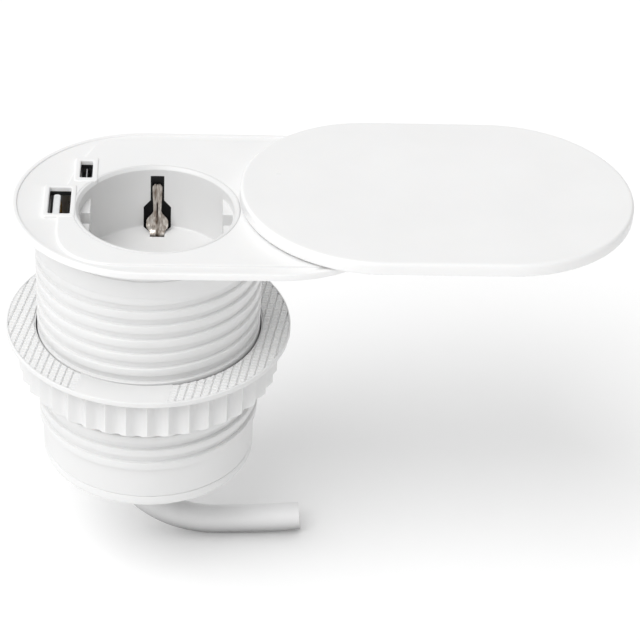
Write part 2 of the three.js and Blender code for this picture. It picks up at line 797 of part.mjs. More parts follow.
function portBoard() {
  const [low, high] = [PORT.bottom - PORT.boardThickness, PORT.bottom];
  let board = cut(
    disc(26.9, low, high),
    disc(WELL.outerRadius + 0.6, low - 1, high + 1, atWell),
    block(-8, 40, -40, 40, low - 1, high + 1),
  );
  for (const [x, y] of PORT_POSTS) board = cut(board, disc(1, low - 1, high + 1, smallAt(x, y)));
  return board;
}

// The room inside a port's shell, less a little play.
const roomInside = ({ width, length, wall }, play = 0) =>
  [width, length].map((size) => size - 2 * (wall + play));

function usbAShell() {
  const { width, length, corner, x, y } = USB_A;
  const inside = roundedRectangle(...roomInside(USB_A), 0.3, x, y);
  return cut(
    prism(roundedRectangle(width, length, corner, x, y), PORT.bottom, PORT.top, 3),
    prism(inside, PORT.bottom - 1, PORT.top + 1, 3),
  );
}

function usbATongue() {
  const { x, y, tongueTop } = USB_A;
  const [width, length] = roomInside(USB_A, PORT.play);
  const base = prism(roundedRectangle(width, length, 0.3, x, y), PORT.bottom, PORT.bottom + 3, 3);
  const left = x - width / 2 + 0.7;
  const tongue = block(left, left + 1.8, y - 5.5, y + 5.5, PORT.bottom + 2, tongueTop);
  return base.add(tongue);
}

function usbCShell() {
  const { width, length, x, y } = USB_C;
  const inside = slotAlongY(...roomInside(USB_C), x, y);
  return cut(
    prism(slotAlongY(width, length, x, y), PORT.bottom, PORT.top, 6),
    prism(inside, PORT.bottom - 1, PORT.top + 1, 6),
  );
}

function usbCTongue() {
  const { x, y } = USB_C;
  const foot = slotAlongY(...roomInside(USB_C, PORT.play), x, y);
  const tongue = block(x - 0.35, x + 0.35, y - 3.3, y + 3.3, PORT.bottom + 3, PORT.top - 0.7);
  return prism(foot, PORT.bottom, PORT.bottom + 4, 6).add(tongue);
}

function chargerBoard() {
  const [low, high] = [CHARGER_BOARD.top - CHARGER_BOARD.thickness, CHARGER_BOARD.top];
  const clearOfCores = block(CHARGER_BOARD.wireGapX, 40, -40, 40, low - 1, high + 1);
  let board = disc(CHARGER_BOARD.radius, low, high).intersect(clearOfCores);
  for (const angle of BOSS_ANGLES) {
    const at = smallAt(...polar(BOSS.distance, angle));
    board = cut(board, disc(1.45, low - 1, high + 1, at));
  }
  return board;
}

// A core with its winding's window open at the front and the back.
function transformer() {
  const [low, high] = [BOARD_UNDERSIDE - 11, BOARD_UNDERSIDE];
  const core = block(-3, 11, -15, -3, low, high);
  const windowHeights = [low + 2, high - 2.5];
  return cut(
    core,
    block(-4, 12, -16, -12.5, ...windowHeights),
    block(-4, 12, -5.5, -2, ...windowHeights),
  );
}

// A round component that hangs under the charger board.
const hanging = (radius, height, at) =>
  disc(radius, BOARD_UNDERSIDE - height, BOARD_UNDERSIDE, at);

// ---------------------------------------------------------------- cover and its pivot

function cover() {
  const { endRadius, straight, openLeftCentreX, bottom, top, edgeRounding } = COVER;
  const outline = oblong(endRadius, straight, openLeftCentreX);
  const rounded = new THREE.ExtrudeGeometry(outline, {
    depth: top - bottom - 2 * edgeRounding,
    bevelThickness: edgeRounding,
    bevelSize: edgeRounding,
    bevelOffset: -edgeRounding,
    bevelSegments: 2,
    curveSegments: 12,
  });
  const slab = solid(rounded.translate(0, 0, bottom + edgeRounding));
  return cut(slab, disc(PIVOT.pinRadius + 0.02, bottom - 1, bottom + 2.05, atPivot));
}

const atPivot = middleAt(PIVOT_X);
const pivotPin = () => disc(PIVOT.pinRadius, 0.2, COVER.bottom + 2, atPivot);
const glideWasher = () => ring(2.3, 7, PLATE.fieldLevel + 0.03, COVER.bottom - 0.02, atPivot);
const springWasher = () => ring(2.3, 4.8, 0.78, 1.18, atPivot);
const retainingRing = () => ring(PIVOT.pinRadius + 0.03, 4.6, 0.22, 0.7, atPivot);

// ---------------------------------------------------------------- clamp ring and nut

function clampRing() {
  const { boreRadius, outerRadius, top, thickness } = CLAMP;
  return ring(boreRadius, outerRadius, top - thickness, top, { segments: 48 });
}

// The nut's grip: concave flutes with a ridge between each two, around a circle.
function flutedOutline() {
  const stepsPerFlute = 3;
  const count = NUT.flutes * stepsPerFlute;
  const points = [];
  for (let i = 0; i < count; i++) {
    const phase = (i % stepsPerFlute) / stepsPerFlute;
    const depth = (NUT.ridgeRadius - NUT.fluteRadius) * Math.sin(Math.PI * phase);
    const angle = (2 * Math.PI * i) / count;
    const radius = NUT.ridgeRadius - depth;
    points.push([radius * Math.cos(angle), radius * Math.sin(angle)]);
  }
  return polygon(points);
}

function lockNut() {
  const top = CLAMP.top - CLAMP.thickness - NUT.gapToRing;
  const bottom = top - NUT.height;
  const body = cut(
    prism(flutedOutline(), bottom, top),
    disc(NUT.boreRadius, bottom - 1, top + 1, { segments: THREAD.segmentsPerTurn }),
  );
  const tubeThreadTop = THREAD.top - THREAD.baseHalfWidth;
  const turnsAboveNut = Math.ceil((tubeThreadTop - top) / THREAD.pitch) + 0.5;
  const ridge = threadRidge({
    baseRadius: NUT.boreRadius + THREAD.embed,
    tipRadius: NUT.boreRadius - NUT.threadDepth,
    baseHalfWidth: NUT.threadBaseHalfWidth,
    tipHalfWidth: NUT.threadTipHalfWidth,
    top: tubeThreadTop - turnsAboveNut * THREAD.pitch,
    turns: 1.5,
  });
  return body.add(ridge);
}

// ---------------------------------------------------------------- build

const coverGroup = new THREE.Group();
const nutGroup = new THREE.Group();
fromDesktop.add(coverGroup, nutGroup);

add("top_plate", topPlate(), MATERIAL.glossWhite);
add("housing", housing(), MATERIAL.tubeWhite);
add("bottom_cap", bottomCap(), MATERIAL.tubeWhite);
add("cable_grommet", grommet(), MATERIAL.rubber);
add("cord_clamp", cordClamp(), MATERIAL.innerPlastic);

add("socket_insert", socketInsert(), MATERIAL.satinWhite);
add("shutter", shutter(), MATERIAL.nylon);
add("contact_carrier", contactCarrier(), MATERIAL.innerPlastic);
add("live_contact", pinContact(-1), MATERIAL.brass);
add("neutral_contact", pinContact(1), MATERIAL.brass);
add("earth_contact", earthContact(), MATERIAL.nickel);

add("usb_port_board", portBoard(), MATERIAL.board);
add("usb_a_shell", usbAShell(), MATERIAL.steel);
add("usb_a_tongue", usbATongue(), MATERIAL.satinWhite);
add("usb_c_shell", usbCShell(), MATERIAL.steel);
add("usb_c_tongue", usbCTongue(), MATERIAL.component);

add("charger_board", chargerBoard(), MATERIAL.board);
add("transformer", transformer(), MATERIAL.transformerTape);
add("input_capacitor", hanging(4.5, 12.5, middleAt(8, 8)), MATERIAL.capacitorSleeve);
add("output_capacitor", hanging(3.2, 8.5, middleAt(-3, 10)), MATERIAL.capacitorSleeve);
add("fuse", hanging(2.1, 7, smallAt(17, -2)), MATERIAL.component);

const screwM3 = screwShape(1.9, 1.2, 1.15, 7);
const screwM2 = screwShape(1.7, 1, 0.75, 6.5);
const carrierScrew = screwShape(1.9, 1.2, 0.9, 4.4);
const cordScrew = screwShape(2.1, 1.2, CORD_SCREW.shankRadius - 0.05, 13.5);
const terminalScrew = screwShape(1.25, 1, 1.2, 2.2);
const shortTerminalScrew = screwShape(1.25, 1, 1.2, 1.4);
const UPSIDE_DOWN = [Math.PI, 0, 0];
const TOWARDS_PLUS_X = [0, Math.PI / 2, 0];
const TOWARDS_MINUS_X = [0, -Math.PI / 2, 0];
const TOWARDS_PLUS_Y = [-Math.PI / 2, 0, 0];
BOSS_ANGLES.forEach((angle, i) => {
  const [x, y] = polar(BOSS.distance, angle);
  addScrew(`cap_screw_${i + 1}`, screwM3, [x, y, CAP.bottom + CAP_SCREW_HEAD.depth]);
  addScrew(`charger_board_screw_${i + 1}`, screwM3, [x, y, CHARGER_BOARD.top], UPSIDE_DOWN);
});
PORT_POSTS.forEach(([x, y], i) =>
  addScrew(`port_board_screw_${i + 1}`, screwM2, [x, y, PORT.bottom - PORT.boardThickness]),
);
CARRIER_SCREWS.forEach(([x, y], i) =>
  addScrew(`carrier_screw_${i + 1}`, carrierScrew, [x, y, CARRIER.top - CARRIER.thickness]),
);
[-1, 1].forEach((side, i) => {
  const place = [CORD_CLAMP_FACE, side * CORD_SCREW.y, CORD_SCREW.z];
  addScrew(`cord_clamp_screw_${i + 1}`, cordScrew, place, TOWARDS_MINUS_X);
});
const sideScrewX = WELL.pinOffset + TERMINAL.outer - 0.2;
const sideScrewZ = TERMINAL.top - TERMINAL.screwDrop;
const livePlace = [WELL.x - sideScrewX, WELL.y, sideScrewZ];
const neutralPlace = [WELL.x + sideScrewX, WELL.y, sideScrewZ];
const earthPlace = [
  WELL.x,
  WELL.y - EARTH_BLOCK.half - 0.1,
  EARTH_BLOCK.top - EARTH_BLOCK.screwDrop,
];
addScrew("live_terminal_screw", terminalScrew, livePlace, TOWARDS_PLUS_X);
addScrew("neutral_terminal_screw", terminalScrew, neutralPlace, TOWARDS_MINUS_X);
addScrew("earth_terminal_screw", shortTerminalScrew, earthPlace, TOWARDS_PLUS_Y);

add("cable_sheath", cableSheath(), MATERIAL.cableWhite);

// Each core runs beside the cable's centre line, then fans out to its terminal.
function core(name, offset, fan, material) {
  const along = cablePath(offset, CABLE.innerEnd + 2, 3, 7).reverse();
  add(name, wire([...along, ...fan], CABLE.coreRadius, 26), material);
}
const third = (2 * Math.PI) / 3;
const coreOffset = (i) => [
  CABLE.coreSpread * Math.cos(i * third),
  CABLE.coreSpread * Math.sin(i * third),
];
const terminalX = WELL.pinOffset + (TERMINAL.inner + TERMINAL.outer) / 2;
const [liveX, neutralX] = [WELL.x - terminalX, WELL.x + terminalX];
const [nearHoleY, farHoleY] = [WELL.y - TERMINAL.wireOffset, WELL.y + TERMINAL.wireOffset];
const wireTop = TERMINAL.bottom + 3;
const liveFan = [
  [-13, -1, -54],
  [-17.5, -3.5, -46],
  [-17, -5.5, -39],
  [liveX, nearHoleY, -35],
  [liveX, nearHoleY, wireTop],
];
const neutralFan = [
  [-12.5, 3.5, -54],
  [-17.5, 6, -46],
  [-12, 9, -40],
  [2, 9.5, -39.5],
  [13, 5, -39.5],
  [neutralX, farHoleY + 0.25, -37.5],
  [neutralX, farHoleY, -35.5],
  [neutralX, farHoleY, wireTop],
];
const earthFan = [
  [-12.5, -5.5, -54],
  [-17.5, -10, -46],
  [-11, -11.5, -40.5],
  [-2, -8, -38.5],
  [WELL.x, WELL.y, -35],
  [WELL.x, WELL.y, EARTH_BLOCK.bottom + 3],
];
core("live_core", coreOffset(0), liveFan, MATERIAL.brownCore);
core("neutral_core", coreOffset(1), neutralFan, MATERIAL.blueCore);
core("earth_core", coreOffset(2), earthFan, MATERIAL.earthCore);

// Thin leads: mains from the two terminals to the charger board, low voltage on to the port board.
const lead = (points, steps) => wire(points, 0.8, steps);
const boardTop = CHARGER_BOARD.top + 0.5;
const portBoardUnderside = PORT.bottom - PORT.boardThickness - 0.05;
const chargerLive = [
  [liveX, farHoleY, wireTop],
  [liveX, farHoleY, -36],
  [-11.5, -1.5, -40.5],
  [-10.5, -1.5, boardTop],
];
const chargerNeutral = [
  [neutralX, nearHoleY, wireTop],
  [neutralX, nearHoleY, -36],
  [17, -9, -40.5],
  [16, -10, boardTop],
];
const usbPositive = [
  [-11, 13, boardTop],
  [-14, 13.5, -38],
  [-20.5, 10, -29],
  [-21, 8, -21],
  [-21, 8, portBoardUnderside],
];
const usbNegative = [
  [-8.5, 16.5, boardTop],
  [-11.5, 18, -38],
  [-17, 17, -29],
  [-17, 17, -21],
  [-17, 17, portBoardUnderside],
];
add("charger_live_lead", lead(chargerLive, 8), MATERIAL.brownCore);
add("charger_neutral_lead", lead(chargerNeutral, 8), MATERIAL.blueCore);
add("usb_positive_lead", lead(usbPositive, 10), MATERIAL.redLead);
add("usb_negative_lead", lead(usbNegative, 10), MATERIAL.blackLead);

add("cover", cover(), MATERIAL.glossWhite, coverGroup);
add("cover_pivot_pin", pivotPin(), MATERIAL.steel, coverGroup);
add("cover_retaining_ring", retainingRing(), MATERIAL.steel, coverGroup);
add("cover_glide_washer", glideWasher(), MATERIAL.nylon);
add("cover_spring_washer", springWasher(), MATERIAL.steel);

add("clamp_ring", clampRing(), MATERIAL.satinWhite, nutGroup);
add("lock_nut", lockNut(), MATERIAL.satinWhite, nutGroup);

export default outlet;
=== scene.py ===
"""Fine surfaces, materials, light and camera for the desk power outlet.

Every size here is in millimetres, with heights measured from the desktop, and each mesh is
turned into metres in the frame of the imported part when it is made.
"""

import json
import math

import bmesh
import bpy
from mathutils import Matrix, Vector


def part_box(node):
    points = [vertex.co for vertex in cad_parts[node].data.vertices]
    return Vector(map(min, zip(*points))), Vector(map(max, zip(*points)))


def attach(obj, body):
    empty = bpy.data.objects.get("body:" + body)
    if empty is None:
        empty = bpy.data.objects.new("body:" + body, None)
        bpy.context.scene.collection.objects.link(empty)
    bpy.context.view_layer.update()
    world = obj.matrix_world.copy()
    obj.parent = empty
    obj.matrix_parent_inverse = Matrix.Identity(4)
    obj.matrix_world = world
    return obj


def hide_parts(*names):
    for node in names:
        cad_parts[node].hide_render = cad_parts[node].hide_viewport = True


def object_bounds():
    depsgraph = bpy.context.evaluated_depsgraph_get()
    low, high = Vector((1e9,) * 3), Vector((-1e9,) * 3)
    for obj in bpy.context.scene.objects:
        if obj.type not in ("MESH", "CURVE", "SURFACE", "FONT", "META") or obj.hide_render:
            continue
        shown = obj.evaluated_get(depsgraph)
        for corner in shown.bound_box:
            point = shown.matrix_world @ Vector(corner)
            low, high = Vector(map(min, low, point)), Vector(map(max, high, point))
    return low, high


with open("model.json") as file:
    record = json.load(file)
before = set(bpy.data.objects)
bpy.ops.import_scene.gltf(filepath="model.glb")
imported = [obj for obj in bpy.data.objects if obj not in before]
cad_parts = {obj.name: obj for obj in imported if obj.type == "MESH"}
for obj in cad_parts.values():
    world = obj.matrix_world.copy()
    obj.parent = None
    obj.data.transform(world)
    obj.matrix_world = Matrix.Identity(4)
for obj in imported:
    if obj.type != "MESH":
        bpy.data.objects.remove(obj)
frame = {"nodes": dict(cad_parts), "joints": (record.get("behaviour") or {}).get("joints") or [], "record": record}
cad_low, cad_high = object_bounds()

MM = 0.001
MOUNTS = {mount["name"]: mount for mount in frame["record"]["mounts"]}
JOINTS = {joint["name"]: joint for joint in frame["joints"]}
DESK = MOUNTS["desk_top_seat"]["pos_m"][2]


def box_mm(node):
    """The lowest and highest corner of a CAD node, in millimetres from the desktop."""
    low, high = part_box(node)
    lift = Vector((0, 0, DESK))
    return (low - lift) / MM, (high - lift) / MM


def centre_of(node):
    """The X and Y of the middle of a CAD node, in millimetres."""
    low, high = box_mm(node)
    return (low.x + high.x) / 2, (low.y + high.y) / 2


# ------------------------ sizes read from the CAD frame

PLATE_LOW, PLATE_HIGH = box_mm("top_plate")
COVER_LOW, COVER_HIGH = box_mm("cover")
TUBE_LOW, TUBE_HIGH = box_mm("housing")
RING_LOW, RING_HIGH = box_mm("clamp_ring")
NUT_LOW, NUT_HIGH = box_mm("lock_nut")
GROMMET_LOW, GROMMET_HIGH = box_mm("cable_grommet")
TONGUE_LOW, TONGUE_HIGH = box_mm("usb_a_tongue")
CAP_BOTTOM = box_mm("bottom_cap")[0].z
SOCKET_TOP = box_mm("socket_insert")[1].z
SHEATH_HIGH = box_mm("cable_sheath")[1]
USB_C_TONGUE_TOP = box_mm("usb_c_tongue")[1].z

USB_A_CENTRE = centre_of("usb_a_shell")
USB_C_CENTRE = centre_of("usb_c_shell")
CABLE_X = centre_of("cable_grommet")[0]
CAP_SCREWS = [centre_of(f"cap_screw_{i}") for i in (1, 2)]
PIVOT_X = JOINTS["cover_swivel"]["pos_m"][0] / MM
WELL_X, WELL_Y = [value / MM for value in JOINTS["shutter_turn"]["pos_m"][:2]]

# ------------------------ sizes of the fine surfaces

PLATE = {
    "radius": PLATE_HIGH.y,
    "lip_top": 1.95,
    "lip_width": 1.25,
    "groove": 1.6,
    "field": PLATE_HIGH.z,
    "end_groove": 1.2,
    "frame_top": 2.35,
    "frame_corner": 0.9,
    "window_corner": 0.45,
    "window_dark_level": 1.05,
    "hole_radius": 21.53,
    "pocket_radius": 5.6,
    "pocket_depth": 1.25,
}
FIELD = {
    "half": 30.6,
    "arc_x": 71.8,
    "arc_y": -12,
    "arc_radius": 95,
    "back_angle": math.degrees(math.pi - 0.41),
    "front_angle": math.degrees(math.pi + 0.032),
    "front_control": (-22.8, -30.2),
    "front_side_x": -7,
    "back_control_x": -13.4,
    "back_side_x": -9,
}
TUBE = {
    "bore": 27.4,
    "root": 28.9,
    "band": 29.75,
    "band_groove": 29.5,
    "band_bottom": -9.8,
    "collar": 29.95,
    "collar_bottom": -3.4,
}
WELL = {
    "rim_radius": 20.0,
    "floor_radius": 19.7,
    "outer_radius": 21.3,
    "collar_radius": 21.5,
    "rim_level": 1.6,
    "collar_level": SOCKET_TOP,
    "collar_bottom": -0.4,
    "floor": -DESK / MM,
    "underside": -DESK / MM - 2,
    "ledge_level": -1.3,
    "ledge_distance": 17.1,
    "keyway_half": 2.6,
    "keyway_back": 19.6,
    "pin_offset": 9.5,
    "pin_radius": 2.7,
}
EARTH_WINDOW = {
    "neck_half": 1.8,
    "wide_half": 3.65,
    "top": -0.5,
    "neck_bottom": -7.9,
    "wide_top": -9.9,
    "wall": (18.3, 24.5),
    "notch_half": 1.95,
    "notch": (14.1, 16.6, 19, 20.6),
}
THREAD = {
    "pitch": 4.4,
    "turns": 13,
    "start": -8.7,
    "crest": 29.8,
    "crest_half": 1.1,
}
FINE = 160
MEDIUM = 64

# ------------------------ mesh building


def arc(centre_x, centre_y, radius, start, end, steps):
    """Points along an arc, with its angles in degrees."""
    angles = [math.radians(start + (end - start) * i / steps) for i in range(steps + 1)]
    return [(centre_x + radius * math.cos(a), centre_y + radius * math.sin(a)) for a in angles]


def circle(radius, x=0.0, y=0.0, steps=FINE):
    return arc(x, y, radius, 0, 360, steps)[:-1]


def mirrored(points):
    """Points on the right of an outline, followed by their mirror images back on the left."""
    return points + [(-x, y) for x, y in reversed(points)]


def stadium(radius, left_x, right_x):
    """Two half circles joined by straight sides along X, anticlockwise."""
    steps = FINE // 2
    return arc(right_x, 0, radius, -90, 90, steps) + arc(left_x, 0, radius, 90, 270, steps)


def rounded_rectangle(x0, x1, y0, y1, radius, steps=8):
    return (
        arc(x1 - radius, y1 - radius, radius, 0, 90, steps)
        + arc(x0 + radius, y1 - radius, radius, 90, 180, steps)
        + arc(x0 + radius, y0 + radius, radius, 180, 270, steps)
        + arc(x1 - radius, y0 + radius, radius, 270, 360, steps)
    )


def outset(outline, distance):
    """An anticlockwise outline moved outwards by a distance, point by point."""
    moved = []
    count = len(outline)
    for i, (x, y) in enumerate(outline):
        (ax, ay), (bx, by) = outline[i - 1], outline[(i + 1) % count]
        before = Vector((y - ay, ax - x)).normalized()
        after = Vector((by - y, x - bx)).normalized()
        normal = (before + after).normalized()
        reach = distance / max(0.5, normal.dot(after))
        moved.append((x + normal.x * reach, y + normal.y * reach))
    return moved


class Shell:
    """The rings, strips and flat sheets of one mesh, in millimetres from the desktop."""

    def __init__(self):
        self.vertices = []
        self.faces = []
        self.sheets = []

    def ring(self, points):
        start = len(self.vertices)
        self.vertices.extend(points)
        return list(range(start, len(self.vertices)))

    def strip(self, first, second):
        count = len(first)
        for i in range(count):
            j = (i + 1) % count
            self.faces.append((first[i], first[j], second[j], second[i]))

    def band(self, rings):
        for first, second in zip(rings, rings[1:]):
            self.strip(first, second)
        return rings[0], rings[-1]

    def cap(self, ring):
        self.faces.append(tuple(ring))

    def sheet(self, *rings):
        """A flat face inside the first ring and outside the others."""
        self.sheets.append(rings)

    def edge(self, outline, profile):
        """A band round an outline through a profile's [outset, height] points."""
        rings = [
            self.ring([(x, y, height) for x, y in outset(outline, distance)])
            for distance, height in profile
        ]
        return self.band(rings)

    def turned(self, profile, x=0.0, y=0.0, steps=FINE):
        """A closed profile of [radius, height] points turned about a vertical axis."""
        rings = [
            self.ring([(px, py, height) for px, py in circle(radius, x, y, steps)])
            for radius, height in profile
        ]
        self.band(rings + [rings[0]])

    def build(self, name, smooth_angle=40):
        mesh = bmesh.new()
        points = [mesh.verts.new((x * MM, y * MM, DESK + z * MM)) for x, y, z in self.vertices]
        for face in self.faces:
            mesh.faces.new([points[i] for i in face])
        for rings in self.sheets:
            edges = []
            for ring in rings:
                for i, j in zip(ring, ring[1:] + ring[:1]):
                    pair = (points[i], points[j])
                    edges.append(mesh.edges.get(pair) or mesh.edges.new(pair))
            bmesh.ops.triangle_fill(mesh, use_beauty=True, edges=edges)
        bmesh.ops.remove_doubles(mesh, verts=mesh.verts, dist=1e-7)
        bmesh.ops.recalc_face_normals(mesh, faces=mesh.faces)
        data = bpy.data.meshes.new(name)
        mesh.to_mesh(data)
        mesh.free()
        smooth(data, smooth_angle)
        piece = bpy.data.objects.new(name, data)
        bpy.context.scene.collection.objects.link(piece)
        return piece


def smooth(data, angle):
    """Smooth shading that keeps edges sharper than the angle."""
    data.polygons.foreach_set("use_smooth", [True] * len(data.polygons))
    data.set_sharp_from_angle(angle=math.radians(angle))


def solid(name, outline, profile, material=None):
    """A piece with a flat bottom and top, whose side follows a profile of [outset, height]."""
    shell = Shell()
    for end in shell.edge(outline, profile):
        shell.sheet(end)
    piece = shell.build(name)
    if material:
        piece.data.materials.append(material)
    return piece


def boolean(piece, other, operation):
    """Joins, cuts or intersects a piece with another one, which is used up."""
    modifier = piece.modifiers.new("Boolean", "BOOLEAN")
    modifier.operation = operation
    modifier.solver = "EXACT"
    modifier.material_mode = "TRANSFER"
    modifier.object = other
    apply_modifiers(piece)
    bpy.data.objects.remove(other)


def apply_modifiers(piece):
    depsgraph = bpy.context.evaluated_depsgraph_get()
    made = bpy.data.meshes.new_from_object(piece.evaluated_get(depsgraph))
    piece.modifiers.clear()
    piece.data = made


# ------------------------ materials


class Finish:
    """A procedural material: a tint that varies, a roughness that varies and a fine relief."""

    def __init__(self, name, colour, roughness, metallic=0.0):
        self.material = bpy.data.materials.new(name)
        self.material.use_nodes = True
        self.tree = self.material.node_tree
        self.surface = self.tree.nodes["Principled BSDF"]
        self.colour = colour
        self.roughness = roughness
        self.surface.inputs["Metallic"].default_value = metallic
        self.surface.inputs["Roughness"].default_value = roughness
        self.space = self.node("ShaderNodeTexCoord").outputs["Object"]

    def node(self, kind, **values):
        made = self.tree.nodes.new(kind)
        for key, value in values.items():
            setattr(made, key, value)
        return made

    def link(self, source, target):
        self.tree.links.new(source, target)

    def noise(self, size, detail=3.0, stretch=(1, 1, 1)):
        """Noise whose features are about a size in millimetres, stretched along the axes."""
        mapping = self.node("ShaderNodeMapping")
        self.link(self.space, mapping.inputs["Vector"])
        mapping.inputs["Scale"].default_value = [1 / (size * MM * s) for s in stretch]
        texture = self.node("ShaderNodeTexNoise")
        texture.inputs["Scale"].default_value = 1.0
        texture.inputs["Detail"].default_value = detail
        self.link(mapping.outputs["Vector"], texture.inputs["Vector"])
        return texture.outputs["Fac"]

    def tint(self, source, share):
        """Varies the colour by a share of itself, along a 0 to 1 source."""
        ramp = self.node("ShaderNodeValToRGB")
        ramp.color_ramp.elements[0].position = 0.3
        ramp.color_ramp.elements[1].position = 0.7
        dark = [c * (1 - share) for c in self.colour]
        light = [min(1.0, c * (1 + share)) for c in self.colour]
        ramp.color_ramp.elements[0].color = (*dark, 1)
        ramp.color_ramp.elements[1].color = (*light, 1)
        self.link(source, ramp.inputs["Fac"])
        self.link(ramp.outputs["Color"], self.surface.inputs["Base Color"])

    def blend(self, first, second, share):
        """A mix from a colour to a second colour, or to a source, along a 0 to 1 source."""
        mix = self.node("ShaderNodeMixRGB")
        mix.inputs["Color1"].default_value = first
        if isinstance(second, tuple):
            mix.inputs["Color2"].default_value = second
        else:
            self.link(second, mix.inputs["Color2"])
        self.link(share, mix.inputs["Fac"])
        return mix.outputs["Color"]

    def remap(self, source, side, low, high):
        """Maps a source between two ranges: one side, From or To, is given, the other is 0 to 1."""
        reach = self.node("ShaderNodeMapRange")
        reach.inputs[side + " Min"].default_value = low
        reach.inputs[side + " Max"].default_value = high
        self.link(source, reach.inputs["Value"])
        return reach.outputs["Result"]

    def gloss(self, source, spread):
        """Varies the roughness by a spread up and down, along a 0 to 1 source."""
        varied = self.remap(source, "To", self.roughness - spread, self.roughness + spread)
        self.link(varied, self.surface.inputs["Roughness"])

    def relief(self, source, depth, strength=1.0):
        """A bump whose depth is in millimetres."""
        bump = self.node("ShaderNodeBump")
        bump.inputs["Strength"].default_value = strength
        bump.inputs["Distance"].default_value = depth * MM
        self.link(source, bump.inputs["Height"])
        self.link(bump.outputs["Normal"], self.surface.inputs["Normal"])


def moulded(name, colour, roughness, grain, depth):
    """Moulded plastic: a faint mottle, an uneven gloss and a fine grain."""
    finish = Finish(name, colour, roughness)
    finish.tint(finish.noise(18.0), 0.012)
    finish.gloss(finish.noise(6.0), 0.05)
    finish.relief(finish.noise(grain, detail=4.0), depth)
    finish.surface.inputs["IOR"].default_value = 1.5
    finish.surface.inputs["Subsurface Weight"].default_value = 0.08
    finish.surface.inputs["Subsurface Radius"].default_value = (1.0, 0.9, 0.8)
    finish.surface.inputs["Subsurface Scale"].default_value = 1.2 * MM
    return finish.material


def rolled(name, colour, roughness):
    """Rolled or turned metal: fine scratches along one way and a patchy shine."""
    stretch = (1, 1, 14)
    finish = Finish(name, colour, roughness, metallic=1.0)
    finish.tint(finish.noise(3.0), 0.08)
    finish.gloss(finish.noise(1.2, stretch=stretch), 0.1)
    finish.relief(finish.noise(0.35, stretch=stretch), 0.01, strength=0.4)
    return finish.material


def coated(name, colour, roughness, size, share):
    """Plain coloured parts inside: a mottled colour, an uneven gloss and a slight relief."""
    finish = Finish(name, colour, roughness)
    finish.tint(finish.noise(size), share)
    finish.gloss(finish.noise(size / 2), 0.06)
    finish.relief(finish.noise(size / 8), 0.01)
    return finish.material


PLATE_WHITE = moulded("plate_white", (0.90, 0.90, 0.898), 0.30, grain=0.5, depth=0.0015)
BODY_WHITE = moulded("body_white", (0.79, 0.79, 0.788), 0.42, grain=0.35, depth=0.003)
SOCKET_WHITE = moulded("socket_white", (0.80, 0.80, 0.798), 0.36, grain=0.4, depth=0.002)
SOFT_WHITE = moulded("soft_white", (0.78, 0.78, 0.78), 0.5, grain=0.6, depth=0.008)
NYLON = moulded("nylon", (0.72, 0.70, 0.64), 0.5, grain=0.4, depth=0.004)
# Black for the dark inner parts, and painted shade: the sheet behind the earth windows and the cut walls of the
# earth openings and floor notches.
INNER_BLACK_AND_SHADE = coated("inner_black", (0.009, 0.009, 0.01), 0.6, 2.0, 0.25)
PORT_BLACK = coated("port_black", (0.018, 0.018, 0.02), 0.4, 1.0, 0.3)
# A lighter white than the nylon: painted light on the USB-A tongue deep in its port.
LIGHTENED_PORT_WHITE = coated("port_white", (0.84, 0.85, 0.86), 0.4, 1.0, 0.04)
BOARD_GREEN = coated("board_green", (0.02, 0.11, 0.05), 0.35, 1.6, 0.3)
SLEEVE_DARK = coated("sleeve_dark", (0.02, 0.03, 0.08), 0.3, 3.0, 0.2)
TAPE_YELLOW = coated("tape_yellow", (0.62, 0.42, 0.03), 0.35, 2.5, 0.12)
WIRE_BROWN = coated("wire_brown", (0.13, 0.05, 0.02), 0.4, 1.5, 0.12)
WIRE_BLUE = coated("wire_blue", (0.03, 0.12, 0.5), 0.4, 1.5, 0.12)
WIRE_RED = coated("wire_red", (0.5, 0.02, 0.015), 0.4, 1.5, 0.12)
WIRE_BLACK = coated("wire_black", (0.015, 0.015, 0.015), 0.4, 1.5, 0.25)
BRASS = rolled("brass", (0.75, 0.52, 0.2), 0.3)
STEEL = rolled("steel", (0.62, 0.62, 0.63), 0.3)
GOLD = rolled("gold", (0.85, 0.58, 0.2), 0.22)


def cable_white():
    """Soft white vinyl with painted shade: its colour greys where the body shades it."""
    finish = Finish("cable_white", (0.80, 0.80, 0.80), 0.5)
    finish.gloss(finish.noise(6.0), 0.05)
    finish.relief(finish.noise(0.6, detail=4.0), 0.008)
    # Painted shade: ambient occlusion over 30 mm turns the white to grey near the body.
    shade = finish.node("ShaderNodeAmbientOcclusion")
    shade.inputs["Distance"].default_value = 30 * MM
    depth = finish.remap(shade.outputs["AO"], "From", 0.25, 0.9)
    tint = finish.blend((0.28, 0.28, 0.28, 1), (0.9, 0.9, 0.9, 1), depth)
    finish.link(tint, finish.surface.inputs["Base Color"])
    return finish.material


def spring_nickel():
    """Nickel plate with long streaks along the strip, their strong light and dark tint also a painted reflection,
    and a painted brown shade deep in its folds.
    """
    finish = Finish("nickel", (0.60, 0.54, 0.48), 0.42, metallic=1.0)
    finish.gloss(finish.noise(1.2, stretch=(1, 1, 10)), 0.06)
    finish.relief(finish.noise(0.3, stretch=(1, 1, 10)), 0.02, strength=0.5)
    # Rolled streaks whose strong dark-to-light tint is also painted reflection, standing in for the metal's shine.
    streaks_and_sheen = finish.noise(0.6, detail=2.0, stretch=(1, 1, 24))
    streaks_and_sheen = finish.remap(streaks_and_sheen, "From", 0.3, 0.7)
    tint = finish.blend((0.34, 0.27, 0.22, 1), (0.95, 0.91, 0.85, 1), streaks_and_sheen)
    # Painted shade: ambient occlusion over 1.5 mm darkens the folds to dark brown.
    folds = finish.node("ShaderNodeAmbientOcclusion")
    folds.inputs["Distance"].default_value = 1.5 * MM
    fold_shade = finish.blend((0.09, 0.055, 0.04, 1), tint, folds.outputs["AO"])
    finish.link(fold_shade, finish.surface.inputs["Base Color"])
    return finish.material


